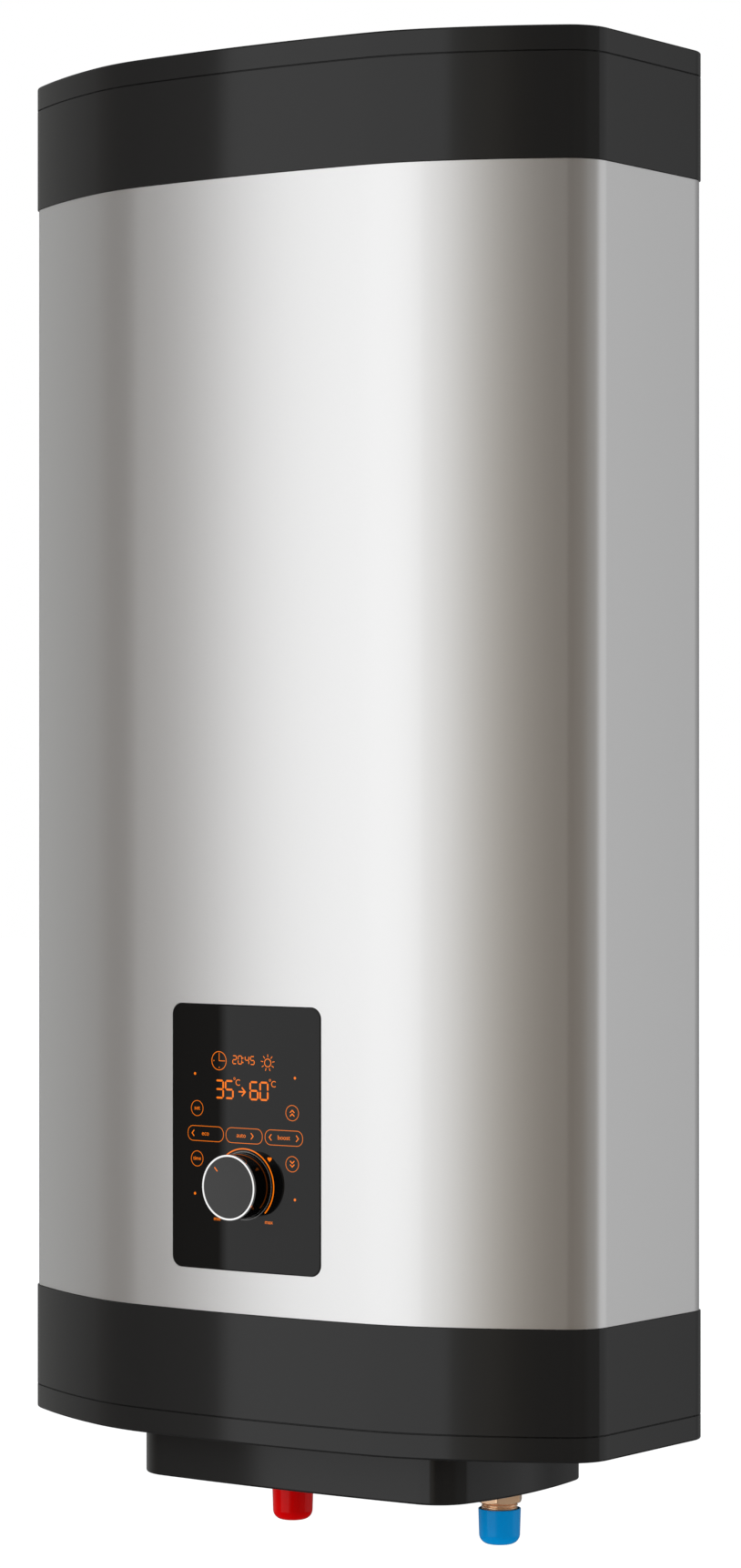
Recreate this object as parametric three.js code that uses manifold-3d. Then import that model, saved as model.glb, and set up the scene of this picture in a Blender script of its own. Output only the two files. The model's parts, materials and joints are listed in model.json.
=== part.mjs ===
// Flat wall-hung electric water heater with two inner tanks, in millimetres.
// +X is right seen from the front, +Y is towards the wall and +Z is up.
// The origin is the centre of the upper wall bracket's rear face, which lies on the wall.
// Depths from the casing's front centre towards the wall are called setbacks.
import * as THREE from "three";
import { mergeVertices } from "three/addons/utils/BufferGeometryUtils.js";
import Module from "manifold-3d";

const wasm = await Module();
wasm.setup();

// General
const fit = 0.3; // gap between pieces that seat on each other
const overrun = 4; // how far a cutter runs past what it cuts
const rightAngle = Math.PI / 2;
const sides = [-1, 1]; // left, right

// Casing
const casingHeight = 860;
const casingHalfWidth = 218;
const casingDepth = 196;
const wallGap = 12; // rear of the casing to the wall
const casingTop = 170; // above the upper bracket's centre
const shoulderRadius = 161.6;
const flankRadius = 409.3;
const cornerRadius = 29.5;
const rearCornerRadius = 21;
const centreTurn = THREE.MathUtils.degToRad(4.78); // headings at which the front's arcs end
const shoulderTurn = THREE.MathUtils.degToRad(19.97);
const flankTurn = THREE.MathUtils.degToRad(31.9);

// Jacket, bands and lids
const sheet = 0.8;
const jacketInset = 1; // the bands stand proud of the jacket by this much
const bandHeight = 64;
const seamWidth = 1;
const lidHeight = 15;
const lidThickness = 2.5;
const lidEdgeRadius = 3;
const spigotWall = 1.6;
const spigotDepth = 8;
const rearOpeningHalfWidth = 150;
const rearPanelLap = 12;

// Wall brackets
const bracketHalfLength = 150;
const bracketHeight = 46;
const bracketPlate = 2.5;
const bracketLegX = 100;
const bracketPitch = 560;
const slotX = 124;
const slotLength = 34;
const slotHeight = 14;

// Inner tanks
const tankRadius = 78;
const tankX = 92;
const tankSetback = 101;
const tankWall = 1.5;
const tankDome = 22;
const tankLift = 26; // lowest point of a tank above the casing's bottom
const tankCover = 15; // foam over a tank's top
const foamLift = 4; // foam's lower face above where a tank's lower dome ends
const linkRadius = 10;
const linkWall = 1.5;
const linkReach = 4; // how far a link pipe enters a tank
const linkInset = 70; // link pipes from the ends of the tanks

// Heater flanges
const flangeX = 86;
const flangeSetback = 86;
const flangeRadius = 33;
const flangeThickness = 4;
const flangeBore = 22; // radius of the opening in a tank's collar
const collarDrop = 12;
const gasketThickness = 2;
const boltCircle = 27.5;
const boltsPerFlange = 4;
const boltRadius = 3;
const boltHead = 4;
const boltHeadRadius = 5.8;
const boltBite = 7;
const elementRadius = 4;
const elementHalfPitch = 11;
const elementRise = 420;
const elementTails = 9; // terminals below the flange
const rodPitch = 13; // anode and thermowell from the flange's centre
const anodeRadius = 8;
const anodeLength = 160;
const anodeStudRadius = 2.5;
const anodeStudTail = 8;
const wellRadius = 5;
const wellWall = 1;
const wellLength = 240;
const probeRadius = 3.4;
const probeTail = 6;

// Water pipes, fittings and transit caps
const pipeX = 81.5;
const pipeSetback = 160.8;
const pipeRadius = 9;
const pipeWall = 1.5;
const hotPipeStandoff = 14; // hot pipe's mouth below its tank's top
const coldPipeRise = 40; // cold pipe's mouth above its tank's bottom
const diffuserRadius = 14;
const diffuserHeight = 26;
const diffuserWall = 2;
const hexDrop = 49.2; // hexagon's lower face below the casing
const hexHeight = 20;
const hexFlats = 29.5;
const hexChamfer = 2.6;
const hexFaceRadius = 13.2;
const threadRadius = 11.9;
const threadLength = 21.5;
const waterway = 7;
const socketStop = 4; // metal left under the pipe's end in the hexagon
const capGap = 3.2; // hexagon to the cap's rim
const capHeight = 23.4;
const capRadius = 13.5;
const capFootRadius = 12.8;
const capCorner = 6.3;
const capSlip = 0.4; // between the thread's crests and the cap
const capFloor = 1.8;
const grommetRadius = 13.7;
const grommetLip = 2.4;

// Service cover under the casing
const coverDrop = 33.5;
const coverHalfWidth = 130.7;
const coverSetback = 40.2;
const coverRearSetback = 195;
const coverCornerRadius = 27;
const coverSideRadius = 218;
const coverRearRadius = 25;
const coverBowTurn = THREE.MathUtils.degToRad(3.8); // headings at which the cover's arcs end
const coverCornerTurn = THREE.MathUtils.degToRad(75);
const coverEdgeRadius = 3;
const coverWall = 2.5;
const coverPipeHole = 18.6;
const coverBossRadius = 4.5;
const coverBossInset = 16;
const serviceHole = 36.5; // radius of each flange's access hole in the bottom lid

// Electrics in the service compartment
const powerBoardWidth = 78;
const powerBoardDepth = 104;
const boardThickness = 1.6;
const standoff = 6;
const standoffRadius = 3;
const standoffInset = 5;
const powerBoardSetback = 106;
const relayWidth = 19;
const relayDepth = 28;
const relayHeight = 15;
const relayPitch = 24;
const relayOffset = 34; // relays forward of the board's centre
const blockWidth = 46;
const blockDepth = 16;
const blockHeight = 13;
const blockPoles = 3;
const blockOffset = 36; // terminal block behind the board's centre
const cutoutWidth = 34;
const cutoutDepth = 24;
const cutoutHeight = 14;
const buttonRadius = 3.2;
const buttonLength = 9;
const buttonProud = 2.4;
const buttonTravel = 1.5;
const glandSetback = 168;
const glandRadius = 8;
const glandBore = 3.7;
const glandHeadRadius = 11;
const glandHead = 6;
const glandLength = 16;

// Control panel
const panelWidth = 114;
const panelHeight = 163.5;
const panelCornerRadius = 7;
const panelRise = 106.3; // panel's lower edge above the casing's bottom
const glassThickness = 3;
const glassProud = 0.6;
const housingDepth = 20; // setback of the housing's back
const housingWall = 2;
const housingFlangeWidth = 8;
const housingFlange = 3;
const housingLedge = 3;
const boardSetback = 10.5;
const boardMargin = 4;
const boardPostRadius = 2.5;
const displayMargin = 9; // between the panel's side and the display's
const displayHeight = 44;
const displayThickness = 4.9;
const displayDrop = 20; // below the panel's upper edge

// Knob and its encoder
const knobRise = 52.7; // above the panel's lower edge
const knobRadius = 20.15;
const knobDepth = 15.2;
const knobGap = 0.8;
const knobChamfer = 0.5;
const ringWidth = 1.35;
const ringHeight = 1.6;
const faceRecess = 0.3;
const faceDish = 0.3;
const shaftRadius = 3;
const shaftEngagement = 9.5;
const shaftInEncoder = 4.3;
const encoderWidth = 14;
const encoderHeight = 4.3;
const bushWall = 1.2;
const shaftHoleClearance = 1.2;

// Facets
const turnSides = 20;
const smallTurnSides = 12;
const pegSides = 8;
const knobSides = 32;
const domeSteps = 4;
const edgeSteps = 3;
const roundSteps = 4;
const hexagonSides = 6;

// Levels and planes
const casingRear = -wallGap;
const casingFront = casingRear - casingDepth;
const casingBottom = casingTop - casingHeight;
const jacketTop = casingTop - lidHeight - seamWidth - bandHeight;
const jacketBottom = casingBottom + lidHeight + seamWidth + bandHeight;
const spigotInset = jacketInset + sheet + fit;
const bandInner = spigotInset + spigotWall;
const lidSpigotInset = bandInner + fit;
const lidInner = lidSpigotInset + spigotWall;
const lidSpigotEnd = lidHeight + spigotDepth;
const coverBottom = casingBottom - coverDrop;
const tankY = casingFront + tankSetback;
const tankBottom = casingBottom + tankLift;
const foamTop = casingTop - lidSpigotEnd - fit;
const tankTop = foamTop - tankCover;
const collarBottom = tankBottom - collarDrop;
const gasketTop = collarBottom - fit;
const flangeTop = gasketTop - gasketThickness - fit;
const flangeBottom = flangeTop - flangeThickness;
const flangeY = casingFront + flangeSetback;
const pipeY = casingFront + pipeSetback;
const hexBottom = casingBottom - hexDrop;
const threadEnd = hexBottom - threadLength;
const pipeEnd = hexBottom + socketStop + fit;
const capRim = hexBottom - capGap;
const panelBottom = casingBottom + panelRise;
const panelZ = panelBottom + panelHeight / 2;
const knobZ = panelBottom + knobRise;
const glassOuter = jacketInset - glassProud;
const glassInner = glassOuter + glassThickness;
const powerBoardY = casingFront + powerBoardSetback;

// Solids
// A closed geometry as a solid, whichever way its faces were wound.
function toSolid(geometry) {
  const bare = geometry.clone();
  bare.deleteAttribute("normal");
  bare.deleteAttribute("uv");
  const merged = mergeVertices(bare);
  const corners = [...merged.index.array];
  const build = (turned) => {
    const faces = [];
    for (let i = 0; i < corners.length; i += 3) {
      const [a, b, c] = corners.slice(i, i + 3);
      if (a !== b && b !== c && c !== a) faces.push(a, turned ? c : b, turned ? b : c);
    }
    const vertProperties = merged.attributes.position.array;
    return new wasm.Manifold(
      new wasm.Mesh({ numProp: 3, vertProperties, triVerts: Uint32Array.from(faces) }),
    );
  };
  const solid = build(false);
  return solid.volume() > 0 ? solid : build(true);
}

// A solid as a three.js geometry.
function toGeometry(solid) {
  const mesh = solid.getMesh();
  const geometry = new THREE.BufferGeometry();
  geometry.setAttribute("position", new THREE.BufferAttribute(mesh.vertProperties, 3));
  geometry.setIndex(new THREE.BufferAttribute(mesh.triVerts, 1));
  geometry.computeVertexNormals();
  return geometry;
}

const join = (first, ...others) => others.reduce((whole, next) => whole.add(next), first);
const cut = (first, ...others) => others.reduce((whole, next) => whole.subtract(next), first);

// A block between two values on each axis.
function block([x0, x1], [y0, y1], [z0, z1]) {
  const geometry = new THREE.BoxGeometry(x1 - x0, y1 - y0, z1 - z0);
  return toSolid(geometry.translate((x0 + x1) / 2, (y0 + y1) / 2, (z0 + z1) / 2));
}

// A shape's arc is drawn with twice this many segments.
const curveSegments = roundSteps / 2;

// A flat shape in XY carried from z0 to z1.
function prism(shape, [z0, z1]) {
  const settings = { depth: z1 - z0, bevelEnabled: false, curveSegments };
  return toSolid(new THREE.ExtrudeGeometry(shape, settings).translate(0, 0, z0));
}

// A flat shape in XZ carried from y0 to y1.
function prismAlongY(shape, [y0, y1]) {
  const settings = { depth: y1 - y0, bevelEnabled: false, curveSegments };
  const geometry = new THREE.ExtrudeGeometry(shape, settings);
  return toSolid(geometry.rotateX(rightAngle).translate(0, y1, 0));
}

// A profile of [radius, z] pairs turned about Z at x, y.
function turned(profile, segments, x = 0, y = 0) {
  const points = profile.map(([radius, z]) => new THREE.Vector2(radius, z));
  const geometry = new THREE.LatheGeometry(points, segments);
  return toSolid(geometry.rotateX(rightAngle).translate(x, y, 0));
}

// A round bar about Z.
function rod(radius, [z0, z1], x = 0, y = 0, segments = smallTurnSides) {
  return turned([[0, z0], [radius, z0], [radius, z1], [0, z1]], segments, x, y);
}

// A round tube about Z.
function tube(outer, inner, [z0, z1], x = 0, y = 0, segments = smallTurnSides) {
  const profile = [[inner, z0], [outer, z0], [outer, z1], [inner, z1], [inner, z0]];
  return turned(profile, segments, x, y);
}

// A hexagon with two corners on the X axis.
function hexagon(circumradius) {
  const corners = Array.from({ length: hexagonSides }, (_, i) => {
    const angle = (i * 2 * Math.PI) / hexagonSides;
    return new THREE.Vector2(circumradius * Math.cos(angle), circumradius * Math.sin(angle));
  });
  return new THREE.Shape(corners);
}

// A rectangle with round corners about a centre.
function roundedRectangle(width, height, radius, centreX, centreY) {
  const x = width / 2 - radius;
  const y = height / 2 - radius;
  const shape = new THREE.Shape();
  shape.absarc(centreX + x, centreY + y, radius, 0, rightAngle);
  shape.absarc(centreX - x, centreY + y, radius, rightAngle, 2 * rightAngle);
  shape.absarc(centreX - x, centreY - y, radius, 2 * rightAngle, 3 * rightAngle);
  shape.absarc(centreX + x, centreY - y, radius, 3 * rightAngle, 4 * rightAngle);
  shape.closePath();
  return shape;
}

// Plans: closed outlines, symmetric about the mid-plane, whose arcs meet tangentially.
// A heading is 0 along +X at the front centre and a right angle along a side.
const sideways = (radius, from, to) => radius * (Math.sin(to) - Math.sin(from));
const backwards = (radius, from, to) => radius * (Math.cos(from) - Math.cos(to));

// bends run from the front centre to the side, each with a radius, its end heading and its steps.
function makePlan(front, rear, bends, rearRadius) {
  let heading = 0;
  let depth = 0;
  for (const { radius, turn } of bends) {
    depth += backwards(radius, heading, turn);
    heading = turn;
  }
  const sideLength = rear - front - depth - rearRadius;
  return { front, bends, sideLength, rearRadius };
}

// The plan's outline moved inwards by inset, anticlockwise seen from above.
function planRing(plan, inset) {
  let x = 0;
  let y = plan.front + inset;
  let heading = 0;
  const half = [];
  const bend = ({ radius, turn, steps }) => {
    const start = heading;
    for (let i = 1; i <= steps; i += 1) {
      const next = start + ((turn - start) * i) / steps;
      x += sideways(radius - inset, heading, next);
      y += backwards(radius - inset, heading, next);
      heading = next;
      half.push(new THREE.Vector2(x, y));
    }
  };
  const start = new THREE.Vector2(x, y);
  plan.bends.forEach(bend);
  y += plan.sideLength;
  half.push(new THREE.Vector2(x, y));
  bend({ radius: plan.rearRadius, turn: 2 * rightAngle, steps: roundSteps });
  const mirrored = half.map((point) => new THREE.Vector2(-point.x, point.y)).reverse();
  return [start, ...half, ...mirrored];
}

// A section of [inset, z] pairs carried round a plan, up its outside and down its inside.
// A closed section makes a ring, and an open one is closed flat at both of its ends.
function carryRound(plan, section, closed = false) {
  const rings = section.map(([inset]) => planRing(plan, inset));
  const count = rings[0].length;
  const positions = rings.flatMap((ring, i) => ring.flatMap((point) => [point.x, point.y, section[i][1]]));
  const faces = [];
  const spans = closed ? rings.length : rings.length - 1;
  for (let i = 0; i < spans; i += 1) {
    const low = i * count;
    const high = ((i + 1) % rings.length) * count;
    for (let j = 0; j < count; j += 1) {
      const next = (j + 1) % count;
      faces.push(low + j, low + next, high + next, low + j, high + next, high + j);
    }
  }
  const close = (index, faceUp) => {
    for (const [a, b, c] of THREE.ShapeUtils.triangulateShape(rings[index], [])) {
      const area = THREE.ShapeUtils.area([rings[index][a], rings[index][b], rings[index][c]]);
      const ordered = area > 0 === faceUp ? [a, b, c] : [a, c, b];
      faces.push(...ordered.map((corner) => index * count + corner));
    }
  };
  if (!closed) {
    close(0, false);
    close(rings.length - 1, true);
  }
  const geometry = new THREE.BufferGeometry();
  geometry.setAttribute("position", new THREE.Float32BufferAttribute(positions, 3));
  geometry.setIndex(faces);
  return toSolid(geometry);
}

// A quarter round of [inset, z] pairs from the outer wall at z0 to the face at z1.
function quarterRound(radius, z0, z1) {
  return Array.from({ length: edgeSteps + 1 }, (_, i) => {
    const angle = (rightAngle * i) / edgeSteps;
    return [radius * (1 - Math.cos(angle)), z0 + (z1 - z0) * Math.sin(angle)];
  });
}

// The front's centre arc, whose radius makes up the casing's width.
const centreRadius =
  (casingHalfWidth -
    sideways(shoulderRadius, centreTurn, shoulderTurn) -
    sideways(flankRadius, shoulderTurn, flankTurn) -
    sideways(cornerRadius, flankTurn, rightAngle)) /
  Math.sin(centreTurn);

const casingPlan = makePlan(
  casingFront,
  casingRear,
  [
    { radius: centreRadius, turn: centreTurn, steps: 4 },
    { radius: shoulderRadius, turn: shoulderTurn, steps: 2 },
    { radius: flankRadius, turn: flankTurn, steps: 2 },
    { radius: cornerRadius, turn: rightAngle, steps: 5 },
  ],
  rearCornerRadius,
);

const coverBowRadius =
  (coverHalfWidth -
    sideways(coverCornerRadius, coverBowTurn, coverCornerTurn) -
    sideways(coverSideRadius, coverCornerTurn, rightAngle)) /
  Math.sin(coverBowTurn);

const coverPlan = makePlan(
  casingFront + coverSetback,
  casingFront + coverRearSetback,
  [
    { radius: coverBowRadius, turn: coverBowTurn, steps: 2 },
    { radius: coverCornerRadius, turn: coverCornerTurn, steps: 4 },
    { radius: coverSideRadius, turn: rightAngle, steps: 2 },
  ],
  coverRearRadius,
);

// The casing's centre arc at an inset, from left to right.
function centreArc(inset) {
  const steps = casingPlan.bends[0].steps;
  return Array.from({ length: 2 * steps + 1 }, (_, i) => {
    const heading = (centreTurn * (i - steps)) / steps;
    const radius = centreRadius - inset;
    return new THREE.Vector2(
      radius * Math.sin(heading),
      casingFront + inset + radius * (1 - Math.cos(heading)),
    );
  });
}

// A slab bowed as the casing's front is, between two insets.
function bowedSlab(frontInset, rearInset, height) {
  return prism(new THREE.Shape([...centreArc(frontInset), ...centreArc(rearInset).reverse()]), height);
}

// A block with a bowed front and a flat rear.
function bowedBlock(frontInset, rearY, height) {
  const arc = centreArc(frontInset);
  const rear = [new THREE.Vector2(arc.at(-1).x, rearY), new THREE.Vector2(arc[0].x, rearY)];
  return prism(new THREE.Shape([...arc, ...rear]), height);
}

// Seen from the front, the panel's outline grown by a margin all round.
function panelPrism(margin, depths) {
  const width = panelWidth + 2 * margin;
  const height = panelHeight + 2 * margin;
  return prismAlongY(roundedRectangle(width, height, panelCornerRadius + margin, 0, panelZ), depths);
}

// Finishes
const colour = {
  silver: [0xb9b8b5, 0.32, 0.9],
  blackPlastic: [0x26272a, 0.28, 0],
  blackGlass: [0x101113, 0.05, 0],
  glossBlack: [0x0c0c0d, 0.12, 0],
  darkGrey: [0x444446, 0.45, 0.2],
  chrome: [0xe9e9ea, 0.08, 1],
  galvanised: [0xa3a8ab, 0.5, 0.8],
  stainless: [0xb9bcbf, 0.3, 1],
  foam: [0xe6cf8d, 0.95, 0],
  copper: [0xd08c5c, 0.22, 1],
  magnesium: [0x8f9193, 0.6, 0.7],
  rubber: [0x1d1d1d, 0.85, 0],
  circuit: [0x1d6b3c, 0.5, 0],
  component: [0x2b2d33, 0.5, 0],
  whitePlastic: [0xdcdcd8, 0.5, 0],
  red: [0xbe0000, 0.25, 0],
  blue: [0x0078b8, 0.25, 0],
};

// One named piece of the heater, placed in its group.
function piece(group, name, solid, [color, roughness, metalness], place = [0, 0, 0]) {
  const material = new THREE.MeshStandardMaterial({ color, roughness, metalness });
  const mesh = new THREE.Mesh(toGeometry(solid), material);
  mesh.name = name;
  mesh.position.set(...place);
  group.add(mesh);
}

// Casing
// Heights that run up from the casing's bottom turn into heights that run down from its top.
const upsideDown = (section) => section.map(([inset, z]) => [inset, casingTop + casingBottom - z]).reverse();

function bandSection() {
  const edge = jacketTop + fit;
  const seam = casingTop - lidHeight - seamWidth;
  return [
    [spigotInset, jacketTop - spigotDepth],
    [spigotInset, edge],
    [0, edge],
    [0, seam],
    [bandInner, seam],
    [bandInner, jacketTop - spigotDepth],
  ];
}

function lidSection() {
  const skirt = casingTop - lidHeight;
  return [
    [lidInner, casingTop - lidThickness],
    [lidInner, casingTop - lidSpigotEnd],
    [lidSpigotInset, casingTop - lidSpigotEnd],
    [lidSpigotInset, skirt],
    [0, skirt],
    ...quarterRound(lidEdgeRadius, casingTop - lidEdgeRadius, casingTop),
  ];
}

function jacketSolid() {
  const inner = jacketInset + sheet;
  const shell = carryRound(
    casingPlan,
    [[jacketInset, jacketBottom], [jacketInset, jacketTop], [inner, jacketTop], [inner, jacketBottom]],
    true,
  );
  const rearOpening = block(
    [-rearOpeningHalfWidth, rearOpeningHalfWidth],
    [casingRear - rearCornerRadius, casingRear],
    [jacketBottom - overrun, jacketTop + overrun],
  );
  const window = panelPrism(fit, [casingFront - overrun, casingFront + housingDepth]);
  return cut(shell, rearOpening, window);
}

function rearPanelSolid() {
  const rear = casingRear - jacketInset - sheet - fit;
  const halfWidth = rearOpeningHalfWidth + rearPanelLap;
  const panel = block(
    [-halfWidth, halfWidth],
    [rear - sheet, rear],
    [jacketBottom + spigotDepth + fit, jacketTop - spigotDepth - fit],
  );
  return cut(panel, ...bracketLegs(fit));
}

function bottomLidSolid() {
  const lid = carryRound(casingPlan, upsideDown(lidSection()));
  const through = [casingBottom - overrun, casingBottom + lidThickness + overrun];
  const posts = standoffs([casingBottom - standoff, casingBottom + lidThickness]);
  const holes = sides.flatMap((side) => [
    rod(serviceHole, through, side * flangeX, flangeY, turnSides),
    rod(grommetRadius + fit, through, side * pipeX, pipeY, turnSides),
  ]);
  return cut(join(lid, ...posts), ...holes);
}

// Wall brackets: a strip on the wall with two legs that run in to the tanks.
const legTip = tankY + Math.sqrt(tankRadius ** 2 - (bracketLegX + bracketPlate / 2 - tankX) ** 2) + fit;

function bracketSolid(centreZ, slotted) {
  const height = [centreZ - bracketHeight / 2, centreZ + bracketHeight / 2];
  const strip = block([-bracketHalfLength, bracketHalfLength], [-bracketPlate, 0], height);
  const legs = sides.map((side) => {
    const x = side * bracketLegX;
    return block([x - bracketPlate / 2, x + bracketPlate / 2], [legTip, -bracketPlate / 2], height);
  });
  const slots = sides.map((side) => {
    const outline = roundedRectangle(slotLength, slotHeight, slotHeight / 2, side * slotX, centreZ);
    return prismAlongY(outline, [-bracketPlate - overrun, overrun]);
  });
  const whole = join(strip, ...legs);
  return slotted ? cut(whole, ...slots) : whole;
}

// The room that both brackets' legs need, with a clearance.
function bracketLegs(clearance) {
  return [0, -bracketPitch].flatMap((centreZ) =>
    sides.map((side) => {
      const x = side * bracketLegX;
      const half = bracketPlate / 2 + clearance;
      return block(
        [x - half, x + half],
        [legTip - tankRadius / 2, -bracketPlate],
        [centreZ - bracketHeight / 2 - clearance, centreZ + bracketHeight / 2 + clearance],
      );
    }),
  );
}

// Tanks
// A barrel with elliptical ends, as a profile about its own axis.
function barrel(radius, z0, z1, dome) {
  const end = (centre, reach) =>
    Array.from({ length: domeSteps + 1 }, (_, i) => {
      const angle = (rightAngle * i) / domeSteps;
      return [radius * Math.sin(angle), centre + reach * Math.cos(angle)];
    });
  return [...end(z0 + dome, -dome), ...end(z1 - dome, dome).reverse()];
}

const linkHeights = [tankTop - linkInset, tankBottom + linkInset];

// A bar across both tanks' facing walls, about X.
function linkBar(radius, z, reach = tankX - tankRadius + tankWall + linkReach) {
  return rod(radius, [-reach, reach]).rotate([0, 90, 0]).translate([0, tankY, z]);
}

function tankSolid(side) {
  const outer = turned(barrel(tankRadius, tankBottom, tankTop, tankDome), turnSides, side * tankX, tankY);
  const hollow = barrel(tankRadius - tankWall, tankBottom + tankWall, tankTop - tankWall, tankDome - tankWall);
  const inner = turned(hollow, turnSides, side * tankX, tankY);
  const collarRange = [collarBottom, tankBottom + tankDome / 2];
  const collar = rod(flangeRadius, collarRange, side * flangeX, flangeY, turnSides);
  const mouth = rod(flangeBore, [collarBottom - overrun, tankBottom + tankDome], side * flangeX, flangeY, turnSides);
  const pipeHole = rod(
    pipeRadius + fit,
    [tankBottom - overrun, tankBottom + tankDome],
    side * pipeX,
    pipeY,
  );
  const boltHoles = boltHoleSet(side, [collarBottom - overrun, collarBottom + boltBite + fit]);
  const linkHoles = linkHeights.map((z) => linkBar(linkRadius + fit, z));
  return cut(join(cut(outer, inner), collar), mouth, pipeHole, ...boltHoles, ...linkHoles);
}

function foamSolid() {
  const inset = lidSpigotInset;
  const foamBottom = tankBottom + tankDome + foamLift;
  const whole = carryRound(casingPlan, [[inset, foamBottom], [inset, foamTop]]);
  const tanks = sides.map((side) => {
    const profile = barrel(tankRadius + fit, tankBottom - fit, tankTop + fit, tankDome);
    return turned(profile, turnSides, side * tankX, tankY);
  });
  const pocketHalf = panelWidth / 2 + housingFlangeWidth + fit;
  const pocket = block(
    [-pocketHalf, pocketHalf],
    [casingFront - overrun, casingFront + housingDepth + fit],
    [panelBottom - housingFlangeWidth - fit, panelBottom + panelHeight + housingFlangeWidth + fit],
  );
  const links = linkHeights.map((z) => linkBar(linkRadius + fit, z, tankX));
  return cut(whole, ...tanks, ...links, pocket, ...bracketLegs(fit));
}

// Heater flanges
function boltPlaces(side) {
  return Array.from({ length: boltsPerFlange }, (_, i) => {
    const angle = (2 * Math.PI * (i + 1 / 2)) / boltsPerFlange;
    return [side * flangeX + boltCircle * Math.cos(angle), flangeY + boltCircle * Math.sin(angle)];
  });
}

function boltHoleSet(side, height) {
  return boltPlaces(side).map(([x, y]) => rod(boltRadius + fit, height, x, y, pegSides));
}

function flangeSolid(side) {
  const x = side * flangeX;
  const through = [flangeBottom - overrun, flangeTop + overrun];
  const disc = rod(flangeRadius, [flangeBottom, flangeTop], x, flangeY, turnSides);
  const legs = sides.map((leg) => rod(elementRadius + fit, through, x + leg * elementHalfPitch, flangeY));
  const stud = rod(anodeStudRadius + fit, through, x, flangeY + rodPitch);
  const well = rod(wellRadius + fit, through, x, flangeY - rodPitch);
  return cut(disc, ...legs, stud, well, ...boltHoleSet(side, through));
}

function gasketSolid(side) {
  const height = [gasketTop - gasketThickness, gasketTop];
  const ring = tube(flangeRadius, flangeBore, height, side * flangeX, flangeY, turnSides);
  return cut(ring, ...boltHoleSet(side, [height[0] - overrun, height[1] + overrun]));
}

// A bolt about its own axis, with its head's upper face at zero.
function boltSolid() {
  const grip = 2 * fit + flangeThickness + gasketThickness + fit + boltBite;
  const head = prism(hexagon(boltHeadRadius), [-boltHead, 0]);
  return join(head, rod(boltRadius, [-boltHead / 2, grip], 0, 0, pegSides));
}

// Two straight legs joined by a half turn; every step but the first and last falls on the turn.
class Hairpin extends THREE.Curve {
  constructor(halfPitch, rise, steps) {
    super();
    Object.assign(this, { halfPitch, rise, steps });
  }

  getPoint(t) {
    const step = t * this.steps;
    const turns = this.steps - 2;
    const angle = Math.PI * THREE.MathUtils.clamp((step - 1) / turns, 0, 1);
    const climb = Math.min(step, this.steps - step, 1);
    const x = -this.halfPitch * Math.cos(angle);
    return new THREE.Vector3(x, 0, this.rise * climb + this.halfPitch * Math.sin(angle));
  }

  getUtoTmapping(u) {
    return u;
  }
}

function elementSolid() {
  const bendSteps = 8;
  const steps = bendSteps + 2;
  const section = new THREE.Shape().absarc(0, 0, elementRadius, 0, 4 * rightAngle);
  const rise = elementTails + flangeThickness + elementRise;
  const extrudePath = new Hairpin(elementHalfPitch, rise, steps);
  const settings = { steps, extrudePath, curveSegments: pegSides / 2, bevelEnabled: false };
  return toSolid(new THREE.ExtrudeGeometry(section, settings));
}

// An anode about its own axis, with the flange's lower face at zero.
function anodeSolid() {
  const seat = flangeThickness + fit;
  return turned(
    [
      [0, -anodeStudTail],
      [anodeStudRadius, -anodeStudTail],
      [anodeStudRadius, seat],
      [anodeRadius, seat],
      [anodeRadius, seat + anodeLength],
      [0, seat + anodeLength],
    ],
    smallTurnSides,
  );
}

// A closed sensor tube about its own axis, open below the flange's lower face.
function wellSolid() {
  const bore = wellRadius - wellWall;
  return turned(
    [[bore, -wellWall], [wellRadius, -wellWall], [wellRadius, wellLength], [0, wellLength],
      [0, wellLength - wellWall], [bore, wellLength - wellWall], [bore, -wellWall]],
    smallTurnSides,
  );
}

// Water pipes
function diffuserSolid() {
  const mouth = tankBottom + coldPipeRise;
  const skirt = mouth - diffuserHeight / 2;
  const ceiling = mouth + diffuserHeight / 2;
  const bore = pipeRadius + fit;
  const chamber = diffuserRadius - diffuserWall;
  const cup = turned(
    [[bore, skirt], [diffuserRadius, skirt], [diffuserRadius, ceiling], [0, ceiling],
      [0, ceiling - diffuserWall], [chamber, ceiling - diffuserWall], [chamber, mouth], [bore, mouth],
      [bore, skirt]],
    turnSides,
    pipeX,
    pipeY,
  );
  const slotHeight = [mouth + diffuserWall, ceiling - 2 * diffuserWall];
  const reach = diffuserRadius + overrun;
  const half = diffuserWall;
  const across = block([pipeX - reach, pipeX + reach], [pipeY - half, pipeY + half], slotHeight);
  const along = block([pipeX - half, pipeX + half], [pipeY - reach, pipeY + reach], slotHeight);
  return cut(cup, across, along);
}

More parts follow.
